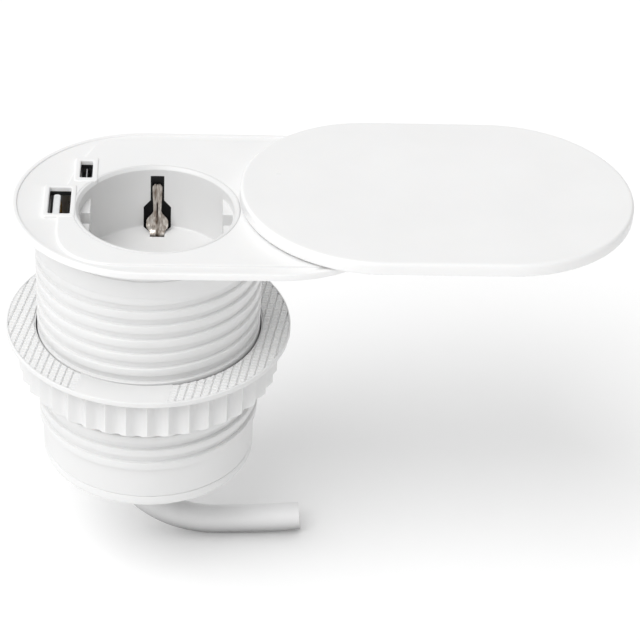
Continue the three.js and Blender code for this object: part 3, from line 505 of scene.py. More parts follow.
def earth_stripe():
    """Green insulation with yellow bands."""
    finish = Finish("wire_earth", (0.05, 0.3, 0.05), 0.4)
    wave = finish.node("ShaderNodeTexWave")
    wave.inputs["Scale"].default_value = 120
    wave.inputs["Distortion"].default_value = 1.5
    finish.link(finish.space, wave.inputs["Vector"])
    ramp = finish.node("ShaderNodeValToRGB")
    ramp.color_ramp.interpolation = "CONSTANT"
    ramp.color_ramp.elements[0].color = (0.05, 0.3, 0.05, 1)
    ramp.color_ramp.elements[1].color = (0.75, 0.6, 0.03, 1)
    ramp.color_ramp.elements[1].position = 0.5
    finish.link(wave.outputs["Fac"], ramp.inputs["Fac"])
    finish.link(ramp.outputs["Color"], finish.surface.inputs["Base Color"])
    finish.gloss(finish.noise(1.0), 0.05)
    return finish.material


CABLE_WHITE = cable_white()
NICKEL = spring_nickel()
WIRE_EARTH = earth_stripe()


def dress(piece, material):
    """Gives a piece its material."""
    if piece.data.materials:
        piece.data.materials[0] = material
    else:
        piece.data.materials.append(material)


# ------------------------ top plate

PORTS = [
    {"centre": USB_A_CENTRE, "window": (5.6, 12.6), "frame": (8.4, 15.6)},
    {"centre": USB_C_CENTRE, "window": (3.2, 8.4), "frame": (6.2, 12.2)},
]


def rectangle(centre, size, corner):
    (x, y), (width, length) = centre, size
    return rounded_rectangle(
        x - width / 2, x + width / 2, y - length / 2, y + length / 2, corner
    )


def field_outline(right_x):
    """The raised field: a long shallow arc on the left, straight sides, a round right end."""
    half, corner_steps = FIELD["half"], 12
    angles = FIELD["back_angle"], FIELD["front_angle"]
    side_arc = arc(FIELD["arc_x"], FIELD["arc_y"], FIELD["arc_radius"], *angles, 40)
    front_side = (FIELD["front_side_x"], -half)
    front = bend(side_arc[-1], FIELD["front_control"], front_side, corner_steps)
    back_side = (FIELD["back_side_x"], half)
    back = bend(back_side, (FIELD["back_control_x"], half), side_arc[0], corner_steps)[:-1]
    end_radius = PLATE["radius"] - PLATE["lip_width"] - PLATE["end_groove"]
    turn = math.degrees(math.asin(half / end_radius))
    right = arc(right_x, 0, end_radius, -turn, turn, 60)
    return [back_side] + back + side_arc + front + right


def bend(start, control, end, steps):
    """Points after the start of a curve drawn to an end towards a control point."""
    points = []
    for i in range(1, steps + 1):
        t = i / steps
        weights = ((1 - t) ** 2, 2 * t * (1 - t), t * t)
        points.append(
            tuple(sum(w * p[k] for w, p in zip(weights, (start, control, end))) for k in (0, 1))
        )
    return points


def plate_ends():
    return PLATE_LOW.x + PLATE["radius"], PLATE_HIGH.x - PLATE["radius"]


def make_top_plate():
    plate = make_plate_body()
    plate.data.materials.append(PLATE_WHITE)
    for port in PORTS:
        boolean(plate, port_frame(port), "UNION")
    for port in PORTS:
        boolean(plate, port_window(port), "DIFFERENCE")
    smooth(plate.data, 32)
    return plate


def make_plate_body():
    shell = Shell()
    left_x, right_x = plate_ends()
    radius, groove, field = PLATE["radius"], PLATE["groove"], PLATE["field"]
    lip_top, lip_width = PLATE["lip_top"], PLATE["lip_width"]
    under, crown, inner, fillet, mouth_edge = 0.3, 0.45, 0.2, 0.15, 0.12
    profile = (
        [(-3 * under, 0)]
        + arc(-under, under, under, -90, 0, 4)
        + arc(-crown, lip_top - crown, crown, 0, 90, 6)
        + arc(inner - lip_width, lip_top - inner, inner, 90, 180, 4)
        + arc(-fillet - lip_width, groove + fillet, fillet, 0, -90, 3)
    )
    underside, groove_edge = shell.edge(stadium(radius, left_x, right_x), profile)

    foot = [(0.6, groove)] + arc(0.1 + fillet, groove + fillet, fillet, -90, -180, 3)
    shoulder = arc(0.05 - under, field - under, under, 0, 90, 6) + [(-0.7, field)]
    field_foot, field_top = shell.edge(field_outline(right_x), foot + shoulder)
    shell.sheet(groove_edge, field_foot)

    well = circle(PLATE["hole_radius"], WELL_X, WELL_Y)
    mouth = [(0.4, field)] + arc(mouth_edge, field - mouth_edge, mouth_edge, 90, 180, 3)
    well_top, well_bottom = shell.edge(well, mouth + [(0, 0)])
    shell.sheet(field_top, well_top)

    pocket = circle(PLATE["pocket_radius"], PIVOT_X, 0, MEDIUM)
    pocket_edge, pocket_roof = shell.edge(pocket, [(0, 0), (0, PLATE["pocket_depth"])])
    shell.cap(pocket_roof)
    shell.sheet(underside, well_bottom, pocket_edge)
    return shell.build("top_plate_surface")


def port_frame(port):
    """The raised frame round a port's window, as a solid with a rounded upper edge."""
    top, rounding = PLATE["frame_top"], 0.4
    outline = rectangle(port["centre"], port["frame"], PLATE["frame_corner"])
    profile = [(0, PLATE["groove"] - 1)]
    profile += arc(-rounding, top - rounding, rounding, 0, 90, 6) + [(-1.5 * rounding, top)]
    return solid("port_frame", outline, profile, PLATE_WHITE)


def port_window(port):
    """A cutter for the port's window: flared at the mouth, its dark lower wall set a little in."""
    top, dark = PLATE["frame_top"], PLATE["window_dark_level"]
    inset, flare = 0.12, 0.35
    outline = rectangle(port["centre"], port["window"], PLATE["window_corner"])
    profile = [(-inset, -1), (-inset, dark), (0, dark)]
    profile += arc(flare, top - flare, flare, 180, 90, 6) + [(flare, top + 1)]
    window = solid("port_window", outline, profile, PLATE_WHITE)
    window.data.materials.append(PORT_BLACK)
    highest_dark = DESK + (dark + 0.001) * MM
    for face in window.data.polygons:
        face.material_index = int(face.center.z <= highest_dark)
    return window


# ------------------------ cover


def make_cover():
    radius, low, high = COVER_HIGH.y, COVER_LOW.z, COVER_HIGH.z
    under, crown, flat = 0.45, 0.9, 4
    outline = stadium(radius, COVER_LOW.x + radius, COVER_HIGH.x - radius)
    profile = (
        [(-2 * under, low)]
        + arc(-under, low + under, under, -90, 0, 5)
        + arc(-crown, high - crown, crown, 0, 90, 8)
        + [(-crown - 0.4, high), (-flat, high)]
    )
    return solid("cover_surface", outline, profile)


# ------------------------ tube and thread


def make_tube():
    """The wall with its collar and the smooth band that the thread grows out of."""
    top, bottom = TUBE_HIGH.z, TUBE_LOW.z
    bore, root, band, collar = TUBE["bore"], TUBE["root"], TUBE["band"], TUBE["collar"]
    groove, band_bottom = TUBE["band_groove"], TUBE["band_bottom"]
    collar_bottom = TUBE["collar_bottom"]
    rim, collar_edge, band_edge, foot = 0.2, 0.1, 0.12, 0.25
    shell = Shell()
    shell.turned(
        [(bore, top)]
        + arc(collar - rim, top - rim, rim, 90, 0, 3)
        + arc(collar - collar_edge, collar_bottom + collar_edge, collar_edge, 0, -90, 2)
        + [(groove, collar_bottom - 0.05), (groove, collar_bottom - 0.35)]
        + [(band, collar_bottom - 0.6)]
        + arc(band - band_edge, band_bottom + band_edge, band_edge, 0, -90, 2)
        + [(root, band_bottom)]
        + arc(root - foot, bottom + foot, foot, 0, -90, 3)
        + [(bore, bottom)]
    )
    return shell.build("tube_wall")


def make_thread():
    """A square ridge with a softly rounded upper edge, swept down a right-hand helix."""
    shell = Shell()
    steps_per_turn = 96
    steps = THREAD["turns"] * steps_per_turn
    fade = steps_per_turn // 4
    root = TUBE["root"]
    height = THREAD["crest"] - root
    half = THREAD["crest_half"]
    buried, lower_edge, upper_edge = 0.3, 0.1, 0.35
    profile = (
        [(-buried, -half), (0.01, -half)]
        + arc(height - lower_edge, -half + lower_edge, lower_edge, -90, 0, 2)
        + arc(height - upper_edge, half - upper_edge, upper_edge, 0, 80, 5)
        + [(0.12, half + 0.02), (0.01, half + 0.15), (-buried, half + 0.15)]
    )
    rings = []
    for i in range(steps + 1):
        angle = -2 * math.pi * i / steps_per_turn
        z = THREAD["start"] - THREAD["pitch"] * i / steps_per_turn
        rise = min(1, (i + 1) / fade, (steps - i + 1) / fade)
        ring = []
        for r, dz in profile:
            radius = root + (r * rise if r > 0 else r)
            ring.append((radius * math.cos(angle), radius * math.sin(angle), z + dz))
        rings.append(shell.ring(ring))
    for end in shell.band(rings):
        shell.cap(end)
    return shell.build("tube_thread", smooth_angle=35)


# ------------------------ bottom cap and grommet

CAP = {
    "top": TUBE_LOW.z - 0.06,
    "seam_edge": 0.25,
    "lower_edge": 1.6,
    "cable_hole": 5.5,
    "cable_hole_depth": 2.4,
    "screw_hole": 2.3,
    "screw_hole_depth": 1.3,
}
GROMMET = {"bore": 4.1, "neck": 5.4, "flange": (GROMMET_HIGH.x - GROMMET_LOW.x) / 2}


def make_bottom_cap():
    shell = Shell()
    bottom, top = CAP_BOTTOM, CAP["top"]
    seam, lower, hole_edge = CAP["seam_edge"], CAP["lower_edge"], 0.15
    side = arc(-seam, top - seam, seam, 90, 0, 3) + arc(-lower, bottom + lower, lower, 0, -90, 10)
    profile = [(-1.5, top)] + side + [(-lower - 0.6, bottom)]
    inner, under = shell.edge(circle(TUBE["root"]), profile)
    shell.cap(inner)
    holes = [(CABLE_X, 0, CAP["cable_hole"], CAP["cable_hole_depth"])]
    holes += [(x, y, CAP["screw_hole"], CAP["screw_hole_depth"]) for x, y in CAP_SCREWS]
    mouths = []
    for x, y, radius, depth in holes:
        wall = [(0.35, bottom)] + arc(hole_edge, bottom + hole_edge, hole_edge, -90, -180, 3)
        wall += [(0, bottom + depth)]
        mouth, roof = shell.edge(circle(radius, x, y, MEDIUM), wall)
        shell.cap(roof)
        mouths.append(mouth)
    shell.sheet(under, *mouths)
    return shell.build("bottom_cap_surface")


def make_grommet():
    shell = Shell()
    bore, neck, flange = GROMMET["bore"], GROMMET["neck"], GROMMET["flange"]
    low, seat, top = GROMMET_LOW.z, CAP_BOTTOM, CAP_BOTTOM + 3
    mouth, lower_edge, upper_edge, gap = 0.35, 0.45, 0.2, 0.02
    shell.turned(
        [(bore, top)]
        + arc(bore + mouth, low + mouth, mouth, 180, 270, 4)
        + arc(flange - lower_edge, low + lower_edge, lower_edge, -90, 0, 5)
        + arc(flange - upper_edge, seat - upper_edge - gap, upper_edge, 0, 90, 3)
        + [(neck, seat - gap), (neck, top)],
        x=CABLE_X,
        steps=MEDIUM,
    )
    return shell.build("cable_grommet_surface")


# ------------------------ cable

CABLE = {
    "radius": 4.0,
    "bore": 2.95,
    "straight_point": -68.0,
    "bend_start": -77.2,
    "bend_radius": 28.0,
    "rise": 1.2,
    "end_rounding": 0.15,
}


def cable_points():
    """The cable's centre line: straight down, a quarter bend, then out to the cut end."""
    start, radius = CABLE["bend_start"], CABLE["bend_radius"]
    centre_x = CABLE_X + radius
    points = [(CABLE_X, SHEATH_HIGH.z), (CABLE_X, CABLE["straight_point"])]
    points += arc(centre_x, start, radius, 180, 270, 24)
    run_steps = 8
    for i in range(1, run_steps + 1):
        share = i / run_steps
        rise = CABLE["rise"] * share * share
        points.append((centre_x + (SHEATH_HIGH.x - centre_x) * share, start - radius + rise))
    return points


def swept(shell, path, radii):
    """Round rings across a path in the XZ plane, one for each point and radius."""
    rings = []
    count = len(path)
    for i, ((x, z), radius) in enumerate(zip(path, radii)):
        (ax, az), (bx, bz) = path[max(0, i - 1)], path[min(count - 1, i + 1)]
        along = Vector((bx - ax, bz - az)).normalized()
        across = Vector((-along.y, along.x))
        ring = []
        for px, py in circle(radius, steps=MEDIUM):
            ring.append((x + across.x * px, py, z + across.y * px))
        rings.append(shell.ring(ring))
    return rings


def make_cable():
    shell = Shell()
    path = cable_points()
    end_x, end_z = path[-1]
    radii = [CABLE["radius"]] * (len(path) - 1) + [CABLE["radius"] - CABLE["end_rounding"]]
    outer = swept(shell, path, radii)
    inner = swept(shell, [(end_x - 4, end_z - 0.5), (end_x, end_z)], [CABLE["bore"]] * 2)
    shell.band(outer + inner[::-1])
    shell.cap(outer[0])
    shell.cap(inner[0])
    return shell.build("cable_surface")


# ------------------------ clamp ring

RING = {
    "outer": RING_HIGH.x,
    "bore": 30.2,
    "turn": math.radians(-11),
    "plain_half": 12.0,
    "grip_pitch": 2.0,
    "notch_pitch": 1.25,
    "grip_depth": 0.5,
    "notch_depth": 0.3,
    "groove_slope": 0.32,
    "notch_slope": 0.22,
    "grip_margin": 0.5,
    "sink_margin": 0.45,
}


def make_ring():
    low, high = RING_LOW.z, RING_HIGH.z
    outer, bore = RING["outer"], RING["bore"]
    rim, bore_edge = 0.3, 0.2
    shell = Shell()
    shell.turned(
        arc(bore + bore_edge, low + bore_edge, bore_edge, 180, 270, 2)
        + arc(outer - rim, low + rim, rim, -90, 0, 4)
        + arc(outer - rim, high - rim, rim, 0, 90, 4)
        + arc(bore + bore_edge, high - bore_edge, bore_edge, 90, 180, 2)
    )
    ring = shell.build("clamp_ring_surface")
    sink_ring_top(ring)
    return ring


def turned_with_ring(x, y):
    cos, sin = math.cos(RING["turn"]), math.sin(RING["turn"])
    return x * cos - y * sin, x * sin + y * cos


def stations(start, count, pitch, slope, drop):
    """Places along a row of flat-topped studs, each with its drop below the tops."""
    made = []
    for i in range(count):
        groove = start + i * pitch
        made += [(groove, drop), (groove + slope, 0), (groove + pitch - slope, 0)]
    return made + [(start + count * pitch, drop)]


def grip_sheet(side):
    """Rows of small studs: deep grooves between the rows and shallower notches along them."""
    depth, outer = RING["grip_depth"], RING["outer"]
    columns = math.ceil((outer - RING["plain_half"]) / RING["grip_pitch"])
    rows = math.ceil(outer / RING["notch_pitch"])
    across = stations(0, columns, RING["grip_pitch"], RING["groove_slope"], depth)
    across[0] = (0, 0)
    along = stations(
        -rows * RING["notch_pitch"],
        2 * rows,
        RING["notch_pitch"],
        RING["notch_slope"],
        RING["notch_depth"],
    )
    top, under = RING_HIGH.z, RING_HIGH.z - depth - 0.5
    shell = Shell()
    rings = []
    for x, groove in across:
        profile = [(y, top - max(groove, notch)) for y, notch in along]
        profile += [(along[-1][0], under), (along[0][0], under)]
        ring = []
        for y, height in profile:
            ring.append((*turned_with_ring(side * (RING["plain_half"] + x), y), height))
        rings.append(shell.ring(ring))
    for end in shell.band(rings):
        shell.sheet(end)
    return shell.build("grip_sheet", smooth_angle=5)


def make_grip(side, name):
    """The gripping pattern on one side, cut to the ring's own outline."""
    grip = grip_sheet(side)
    low, high = RING_HIGH.z - 2, RING_HIGH.z + 2
    inner, outer = RING["bore"] + RING["grip_margin"], RING["outer"] - RING["grip_margin"]
    cutter = Shell()
    cutter.turned([(inner, low), (outer, low), (outer, high), (inner, high)])
    boolean(grip, cutter.build("ring_cutter"), "INTERSECT")
    grip.name = name
    smooth(grip.data, 10)
    return grip


def sink_ring_top(ring):
    """Lowers the ring's upper face under the two gripping patterns."""
    radius, limit = RING["outer"] - RING["sink_margin"], RING["plain_half"]
    reach = math.sqrt(radius**2 - limit**2)
    beyond = [(x, y) for x, y in arc(0, 0, radius, -89.9, 89.9, FINE // 2) if x > limit]
    half = [(limit, -reach)] + beyond + [(limit, reach)]
    profile = [(0, RING_HIGH.z - RING["grip_depth"] - 0.05), (0, RING_HIGH.z + 2)]
    for side in (-1, 1):
        outline = [turned_with_ring(side * x, side * y) for x, y in half]
        boolean(ring, solid("ring_sink", outline, profile), "DIFFERENCE")
    smooth(ring.data, 40)


# ------------------------ nut

NUT = {
    "flutes": 40,
    "flute": 33.1,
    "ridge": NUT_HIGH.x,
    "ridge_softness": 0.012,
    "ridge_offset": 0.11,
    "bore": 30.4,
    "edge": 0.2,
    "chamfer": 1.3,
    "chamfer_share": 0.09,
}


def nut_radius(angle, height_share):
    """The nut's outer radius: concave flutes with a narrow rounded ridge between each two."""
    phase = (angle * NUT["flutes"] / (2 * math.pi)) % 1
    wave = math.sin(math.pi * phase) ** 2
    hollow = math.sqrt(wave + NUT["ridge_softness"]) - NUT["ridge_offset"]
    radius = NUT["ridge"] - (NUT["ridge"] - NUT["flute"]) * hollow
    chamfer = NUT["chamfer"] * max(0.0, 1 - height_share / NUT["chamfer_share"])
    return min(radius, NUT["ridge"] - chamfer)


def make_nut():
    shell = Shell()
    low, high = NUT_LOW.z, NUT_HIGH.z
    steps_per_flute, bore_edge = 14, 0.3
    steps = NUT["flutes"] * steps_per_flute
    chamfer_shares = [0.02, 0.04, 0.06, 0.08, 0.1, 0.13]
    rings = []
    for share in [0, *chamfer_shares, 0.3, 0.98, 1]:
        edge = NUT["edge"] if share in (0, 1) else 0
        z = low + (high - low) * share
        ring = []
        for i in range(steps):
            angle = 2 * math.pi * i / steps
            radius = nut_radius(angle, share) - edge
            ring.append((radius * math.cos(angle), radius * math.sin(angle), z))
        rings.append(shell.ring(ring))
    outer_bottom, outer_top = shell.band(rings)
    bore = [(bore_edge, low), (0, low + bore_edge), (0, high - bore_edge), (bore_edge, high)]
    bore_bottom, bore_top = shell.edge(circle(NUT["bore"]), bore)
    shell.sheet(outer_bottom, bore_bottom)
    shell.sheet(outer_top, bore_top)
    return shell.build("lock_nut_surface", smooth_angle=55)


# ------------------------ socket


def make_socket():
    shell = Shell()
    rim, rim_level = WELL["rim_radius"], WELL["rim_level"]
    collar, collar_level = WELL["collar_radius"], WELL["collar_level"]
    floor, floor_radius = WELL["floor"], WELL["floor_radius"]
    collar_edge, bevel_edge, rim_edge, floor_edge = 0.3, 0.25, 0.35, 0.4
    axis = 0.01
    profile = [
        (axis, WELL["underside"]),
        (WELL["outer_radius"], WELL["underside"]),
        (WELL["outer_radius"], WELL["collar_bottom"]),
        (collar, WELL["collar_bottom"]),
    ]
    profile += arc(collar - collar_edge, collar_level - collar_edge, collar_edge, 0, 90, 5)
    profile += arc(rim + 0.85, collar_level - bevel_edge, bevel_edge, 90, 140, 3)
    profile += arc(rim + rim_edge, rim_level - rim_edge, rim_edge, 130, 180, 4)
    profile += [(rim - 0.02, rim_level - 1.2), (floor_radius + 0.01, floor + 0.6)]
    profile += arc(floor_radius - floor_edge, floor + floor_edge, floor_edge, 0, -90, 5)
    profile += [(axis, floor)]
    shell.turned(profile, WELL_X, WELL_Y)
    socket = shell.build("socket_surface")
    socket.data.materials.append(SOCKET_WHITE)
    for side in (-1, 1):
        boolean(socket, keyed_ledge(side), "UNION")
    for side in (-1, 1):
        boolean(socket, wall_opening(side), "DIFFERENCE")
        boolean(socket, floor_notch(side), "DIFFERENCE")
        boolean(socket, pin_hole(side), "DIFFERENCE")
    smooth(socket.data, 35)
    return socket


def keyed_ledge(side):
    """The flat-faced guide on one side of the well, split by the plug's keyway."""
    near, back, half = WELL["ledge_distance"], WELL["keyway_back"], WELL["keyway_half"]
    buried, edge = 0.5, 0.2
    radius = WELL["rim_radius"] + buried
    reach = math.degrees(math.acos(near / radius))
    outline = arc(0, 0, radius, -reach, reach, 40)
    outline += [(near, half), (back, half), (back, -half), (near, -half)]
    outline = [(WELL_X + side * x, WELL_Y + side * y) for x, y in outline]
    low, high = WELL["floor"] - buried, WELL["ledge_level"]
    return solid("ledge", outline, [(0, low), (0, high - edge), (-edge, high)], SOCKET_WHITE)


def wall_opening(side):
    """The opening for one earth contact in the well's wall: a narrow neck above a wide part."""
    narrow, wide, floor = EARTH_WINDOW["neck_half"], EARTH_WINDOW["wide_half"], WELL["floor"]
    outline = mirrored(
        [
            (narrow, EARTH_WINDOW["top"]),
            (narrow, EARTH_WINDOW["neck_bottom"]),
            (wide, EARTH_WINDOW["wide_top"]),
            (wide, floor + 0.01),
        ]
    )
    shell = Shell()
    ends = []
    for distance in EARTH_WINDOW["wall"]:
        y = WELL_Y + side * distance
        ends.append(shell.ring([(WELL_X + x, y, z) for x, z in outline]))
    for end in shell.band(ends):
        shell.cap(end)
    opening = shell.build("wall_opening")
    # The cut walls of the opening take this black: painted shade inside the window.
    opening.data.materials.append(INNER_BLACK_AND_SHADE)
    return opening


def floor_notch(side):
    """The notch in the well's floor that an earth contact passes down through."""
    near, shoulder, wide, far = EARTH_WINDOW["notch"]
    inner_half, wide_half = EARTH_WINDOW["notch_half"], EARTH_WINDOW["wide_half"]
    outline = mirrored(
        [(inner_half, near), (inner_half, shoulder), (wide_half, wide), (wide_half, far)]
    )
    outline = [(WELL_X + side * x, WELL_Y + side * d) for x, d in outline]
    floor = WELL["floor"]
    # The cut walls of the notch take this black: painted shade down in the notch.
    return solid("floor_notch", outline, [(0, floor - 5), (0, floor + 0.5)], INNER_BLACK_AND_SHADE)


def pin_hole(side):
    """A pin hole with a small lead-in at its mouth."""
    floor, lead_in = WELL["floor"], 0.5
    outline = circle(WELL["pin_radius"], WELL_X + side * WELL["pin_offset"], WELL_Y, MEDIUM)
    profile = [(0, floor - 4), (0, floor - lead_in), (lead_in, floor), (lead_in + 1, floor + 1)]
    return solid("pin_hole", outline, profile, SOCKET_WHITE)


def make_window_shade():
    """Painted shadow: a black wall seen through the earth windows, where the socket's inside lies in shade."""
    shell = Shell()
    low, high = WELL["underside"], EARTH_WINDOW["top"]
    inner, outer = WELL["outer_radius"] + 0.02, WELL["outer_radius"] + 0.4
    shell.turned([(inner, low), (outer, low), (outer, high), (inner, high)], WELL_X, WELL_Y)
    return shell.build("window_shade")


# ------------------------ earth contact

STRAP_PATH = [
    (20.2, -3.2),
    (19.9, -4.2),
    (19.2, -6.5),
    (18.4, -8.7),
    (17.6, -10.8),
    (16.6, -13.2),
    (15.7, -14.8),
    (14.9, -16.6),
    (14.7, -18.5),
    (14.9, -22.6),
    (14.2, -23.8),
    (8.0, -24.0),
]
STRAP_WIDTHS = [
    (-3.2, 0.8),
    (-4.0, 1.3),
    (-10.2, 1.05),
    (-12.8, 2.9),
    (-14.0, 2.9),
    (-15.4, 1.88),
    (-40, 1.88),
]
STRAP = {
    "thickness": 0.6,
    "ridge": 0.55,
    "ridge_half": 0.6,
    "groove": 0.5,
    "groove_half": 0.22,
    "fold_start": -6.5,
    "fold_reach": 2.5,
    "bell": -13.2,
    "bell_reach": 2.4,
    "wing_slope": 1.4,
    "tail_slope": 0.1,
    "flat_half": 0.35,
    "crease": 0.45,
    "crease_level": -14.6,
    "crease_reach": 0.7,
}


def eased(share):
    """A share held between 0 and 1 and eased in and out."""
    share = max(0.0, min(1.0, share))
    return share * share * (3 - 2 * share)


def hump(distance, reach):
    """1 at no distance, falling to 0 at the reach."""
    return max(0.0, 1 - abs(distance) / reach)


def strap_half_width(height):
    """Half the strap's width: a narrow neck, a wide bell near the floor and a narrower tail."""
    for (z0, w0), (z1, w1) in zip(STRAP_WIDTHS, STRAP_WIDTHS[1:]):
        if z1 <= height <= z0:
            return w0 + (w1 - w0) * eased((z0 - height) / (z0 - z1))
    return STRAP_WIDTHS[0][1]


def strap_relief(across, height):
    """How far the strip stands out: a ridge up the neck, then a groove between folded wings."""
    side = abs(across)
    ridge = STRAP["ridge"] * eased(hump(side, STRAP["ridge_half"]))
    groove = STRAP["groove"] * hump(side, STRAP["groove_half"])
    slope = STRAP["tail_slope"]
    slope += STRAP["wing_slope"] * hump(height - STRAP["bell"], STRAP["bell_reach"])
    wings = slope * max(0.0, side - STRAP["flat_half"])
    crease = STRAP["crease"] * hump(height - STRAP["crease_level"], STRAP["crease_reach"])
    crease *= eased(side / 0.5)
    folded = eased((STRAP["fold_start"] - height) / STRAP["fold_reach"])
    return (1 - folded) * ridge - folded * (groove + wings + crease)


def smooth_path(points, steps):
    """A smooth curve through points, with some steps between each pair."""
    padded = [Vector(p) for p in (points[0], *points, points[-1])]
    made = []
    for p0, p1, p2, p3 in zip(padded, padded[1:], padded[2:], padded[3:]):
        for i in range(steps):
            t = i / steps
            line = 2 * p1 + (p2 - p0) * t
            curve = (2 * p0 - 5 * p1 + 4 * p2 - p3) * t * t
            twist = (3 * p1 - p0 - 3 * p2 + p3) * t**3
            made.append(tuple(0.5 * (line + curve + twist)))
    return made + [points[-1]]


def make_earth_contact():
    """One springy strip across the well: it crosses underneath and bows in at front and back."""
    half = smooth_path(STRAP_PATH, 4)
    path = half + [(-d, z) for d, z in reversed(half)]
    right_shares = [0.1, 0.22, 0.35, 0.6, 0.8, 1]
    shares = [-share for share in reversed(right_shares)] + [0] + right_shares
    shell = Shell()
    rings = []
    count = len(path)
    for i, (d, z) in enumerate(path):
        (ad, az), (bd, bz) = path[max(0, i - 1)], path[min(count - 1, i + 1)]
        along = Vector((bd - ad, bz - az)).normalized()
        inward = Vector((along.y, -along.x))
        width = strap_half_width(z)
        front = [(share * width, strap_relief(share, z)) for share in shares]
        back = [(w, depth - STRAP["thickness"]) for w, depth in reversed(front)]
        ring = []
        for w, depth in front + back:
            point_d, point_z = d + inward.x * depth, z + inward.y * depth
            ring.append((WELL_X + w, WELL_Y + point_d, point_z))
        rings.append(shell.ring(ring))
    for end in shell.band(rings):
        shell.cap(end)
    return shell.build("earth_contact_strip", smooth_angle=30)


# ------------------------ port details

TONGUE = {"left": TONGUE_LOW.x + 0.7, "right": TONGUE_LOW.x + 2.5, "half_length": 5.5}
FINGERS = {"count": 4, "pitch": 2.4, "half_width": 0.5, "reach": 0.25}
USB_C_CONTACTS = {"half_width": 0.13, "half_length": 3.0, "rise": 1.4}


def make_usb_a_tongue():
    """The tongue with its rounded ends, standing on its base."""
    low, high = TONGUE_LOW, TONGUE_HIGH
    y, half, edge = USB_A_CENTRE[1], TONGUE["half_length"], 0.2
    slab = rounded_rectangle(TONGUE["left"], TONGUE["right"], y - half, y + half, 0.7)
    base = rounded_rectangle(low.x, high.x, low.y, high.y, 0.3)
    shell = Shell()
    for outline, bottom, top in ((slab, low.z + 2, high.z), (base, low.z, low.z + 3)):
        profile = [(0, bottom)] + arc(-edge, top - edge, edge, 0, 90, 3)
        for end in shell.edge(outline, profile):
            shell.sheet(end)
    return shell.build("usb_a_tongue_surface")


def make_contact_fingers():
    """Sprung fingers along the USB-A tongue, each sloping in at its top."""
    face, half, reach = TONGUE["right"], FINGERS["half_width"], FINGERS["reach"]
    low, bend_level, top = TONGUE_LOW.z + 3, TONGUE_HIGH.z - 1.6, TONGUE_HIGH.z - 0.7
    first_y = USB_A_CENTRE[1] - FINGERS["pitch"] * (FINGERS["count"] - 1) / 2
    shell = Shell()
    for i in range(FINGERS["count"]):
        y = first_y + i * FINGERS["pitch"]
        rings = []
        for x, z in ((face + reach, low), (face + reach, bend_level), (face, top)):
            corners = [(face - 0.1, y - half), (x, y - half), (x, y + half), (face - 0.1, y + half)]
            rings.append(shell.ring([(px, py, z) for px, py in corners]))
        for end in shell.band(rings):
            shell.cap(end)
    return shell.build("usb_a_fingers")


def make_usb_c_contacts():
    """The thin bright row of contacts along the USB-C tongue's upper edge."""
    x, y = USB_C_CENTRE
    half, length, rise = (USB_C_CONTACTS[key] for key in ("half_width", "half_length", "rise"))
    outline = rounded_rectangle(x - half, x + half, y - length, y + length, 0.12, 3)
    profile = [(0, USB_C_TONGUE_TOP - 0.5), (0, USB_C_TONGUE_TOP + rise)]
    return solid("usb_c_contacts", outline, profile)


# ------------------------ fine pieces on their bodies

FINE_PIECES = [
    (make_top_plate(), PLATE_WHITE, "plate_gloss_white", "outlet", "top_plate"),
    (make_cover(), PLATE_WHITE, "plate_gloss_white", "cover", "cover"),
    (make_tube(), BODY_WHITE, "housing_white", "outlet", "housing"),
    (make_thread(), BODY_WHITE, "housing_white", "outlet"),
    (make_bottom_cap(), BODY_WHITE, "housing_white", "outlet", "bottom_cap"),
    (make_grommet(), SOFT_WHITE, "soft_white", "outlet", "cable_grommet"),
    (make_cable(), CABLE_WHITE, "soft_white", "outlet", "cable_sheath"),
    (make_ring(), SOCKET_WHITE, "housing_white", "clamp_ring", "clamp_ring"),
    (make_grip(-1, "ring_grip_left"), SOCKET_WHITE, "housing_white", "clamp_ring"),
    (make_grip(1, "ring_grip_right"), SOCKET_WHITE, "housing_white", "clamp_ring"),
    (make_nut(), SOCKET_WHITE, "housing_white", "lock_nut", "lock_nut"),
    (make_socket(), SOCKET_WHITE, "housing_white", "outlet", "socket_insert"),
    (make_window_shade(), INNER_BLACK_AND_SHADE, "inner_black", "outlet"),
    (make_earth_contact(), NICKEL, "nickel", "outlet", "earth_contact"),
    (make_usb_a_tongue(), LIGHTENED_PORT_WHITE, "nylon", "outlet", "usb_a_tongue"),
    (make_contact_fingers(), GOLD, "brass", "outlet"),
    (make_usb_c_contacts(), STEEL, "steel", "outlet"),
]
for piece, material, slot, body, *stands_for in FINE_PIECES:
    dress(piece, material)
    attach(piece, body)
    if stands_for:
        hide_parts(*stands_for)


# ------------------------ CAD nodes shown as they are

CARRIED = {
    "nylon": (NYLON, ["shutter", "cover_glide_washer"]),
    "inner_black": (INNER_BLACK_AND_SHADE, ["contact_carrier", "cord_clamp"]),
    "port_black": (PORT_BLACK, ["usb_c_tongue"]),
    "brass": (BRASS, ["live_contact", "neutral_contact"]),
    "circuit_board": (BOARD_GREEN, ["usb_port_board", "charger_board"]),
    "component_dark": (SLEEVE_DARK, ["input_capacitor", "output_capacitor", "fuse"]),
    "transformer_tape": (TAPE_YELLOW, ["transformer"]),
    "wire_brown": (WIRE_BROWN, ["live_core", "charger_live_lead"]),
    "wire_blue": (WIRE_BLUE, ["neutral_core", "charger_neutral_lead"]),
    "wire_earth": (WIRE_EARTH, ["earth_core"]),
    "wire_red": (WIRE_RED, ["usb_positive_lead"]),
    "wire_black": (WIRE_BLACK, ["usb_negative_lead"]),
    "steel": (
        STEEL,
        ["usb_a_shell", "usb_c_shell", "cover_pivot_pin", "cover_retaining_ring"]
        + ["cover_spring_washer"]
        + [name for name in frame["nodes"] if "screw" in name],
    ),
}
for slot, (material, names) in CARRIED.items():
    for name in names:
        dress(frame["nodes"][name], material)


# ------------------------ floor, light and camera


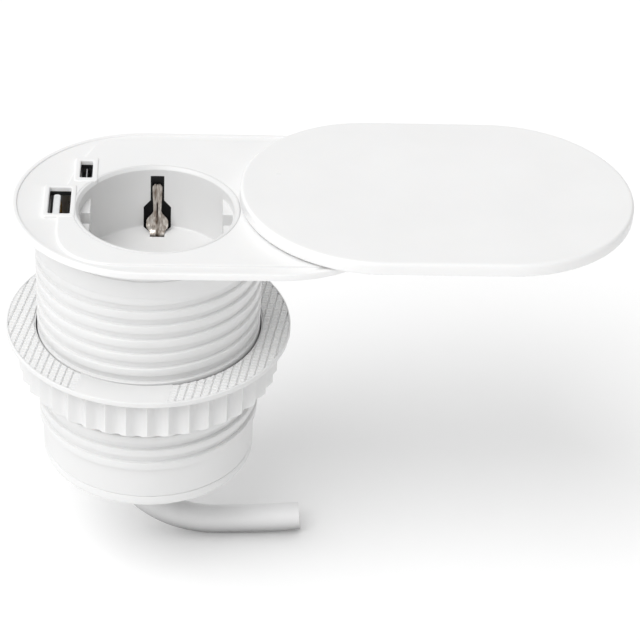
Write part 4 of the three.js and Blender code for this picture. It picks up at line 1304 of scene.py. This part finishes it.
def make_floor():
    bpy.ops.mesh.primitive_plane_add(size=40)
    floor = bpy.context.object
    floor.name = "studio_floor"
    floor.location.z = cad_low.z
    finish = Finish("floor_white", (0.96, 0.96, 0.96), 0.8)
    finish.tint(finish.noise(300.0), 0.01)
    finish.surface.inputs["Emission Color"].default_value = (1, 1, 1, 1)
    finish.surface.inputs["Emission Strength"].default_value = 0.07
    floor.data.materials.append(finish.material)


def sun_light(name, direction, strength, softness):
    """A far light shining along a direction, its softness an angle in degrees."""
    data = bpy.data.lights.new(name, "SUN")
    data.energy = strength
    data.angle = math.radians(softness)
    light = bpy.data.objects.new(name, data)
    light.rotation_mode = "QUATERNION"
    light.rotation_quaternion = Vector(direction).to_track_quat("-Z", "Y")
    bpy.context.scene.collection.objects.link(light)


def make_light():
    world = bpy.data.worlds.new("studio")
    bpy.context.scene.world = world
    world.use_nodes = True
    nodes, links = world.node_tree.nodes, world.node_tree.links
    background = nodes["Background"]
    background.inputs["Color"].default_value = (1, 1, 1, 1)
    direction = nodes.new("ShaderNodeTexCoord").outputs["Generated"]
    split = nodes.new("ShaderNodeSeparateXYZ")
    links.new(direction, split.inputs["Vector"])
    strength = nodes.new("ShaderNodeMapRange")
    strength.inputs["From Min"].default_value = -1.0
    strength.inputs["From Max"].default_value = 1.0
    strength.inputs["To Min"].default_value = 0.9
    strength.inputs["To Max"].default_value = 0.3
    links.new(split.outputs["X"], strength.inputs["Value"])
    links.new(strength.outputs["Result"], background.inputs["Strength"])
    sun_light("key", (0.38, 0.4, -0.83), 1.6, 45)


def make_camera():
    """The photograph's viewing angle, as a position in millimetres and three turns."""
    position = Vector((5.461, -477.482, 297.189)) * MM + Vector((0, 0, DESK))
    yaw, pitch, roll = 0.08457, 0.60672, 0.05904
    forward = Vector(
        (math.sin(yaw) * math.cos(pitch), math.cos(yaw) * math.cos(pitch), -math.sin(pitch))
    )
    level = Vector((math.cos(yaw), -math.sin(yaw), 0))
    upright = level.cross(forward)
    right = math.cos(roll) * level + math.sin(roll) * upright
    up = math.cos(roll) * upright - math.sin(roll) * level
    data = bpy.data.cameras.new("camera")
    data.sensor_width = 36.0
    data.lens = 121.7
    data.clip_start, data.clip_end = 0.01, 100
    camera = bpy.data.objects.new("camera", data)
    turn = Matrix((right, up, -forward)).transposed().to_4x4()
    camera.matrix_world = Matrix.Translation(position) @ turn
    bpy.context.scene.collection.objects.link(camera)
    bpy.context.scene.camera = camera


make_floor()
make_light()
make_camera()
bpy.context.scene.view_settings.view_transform = "Standard"
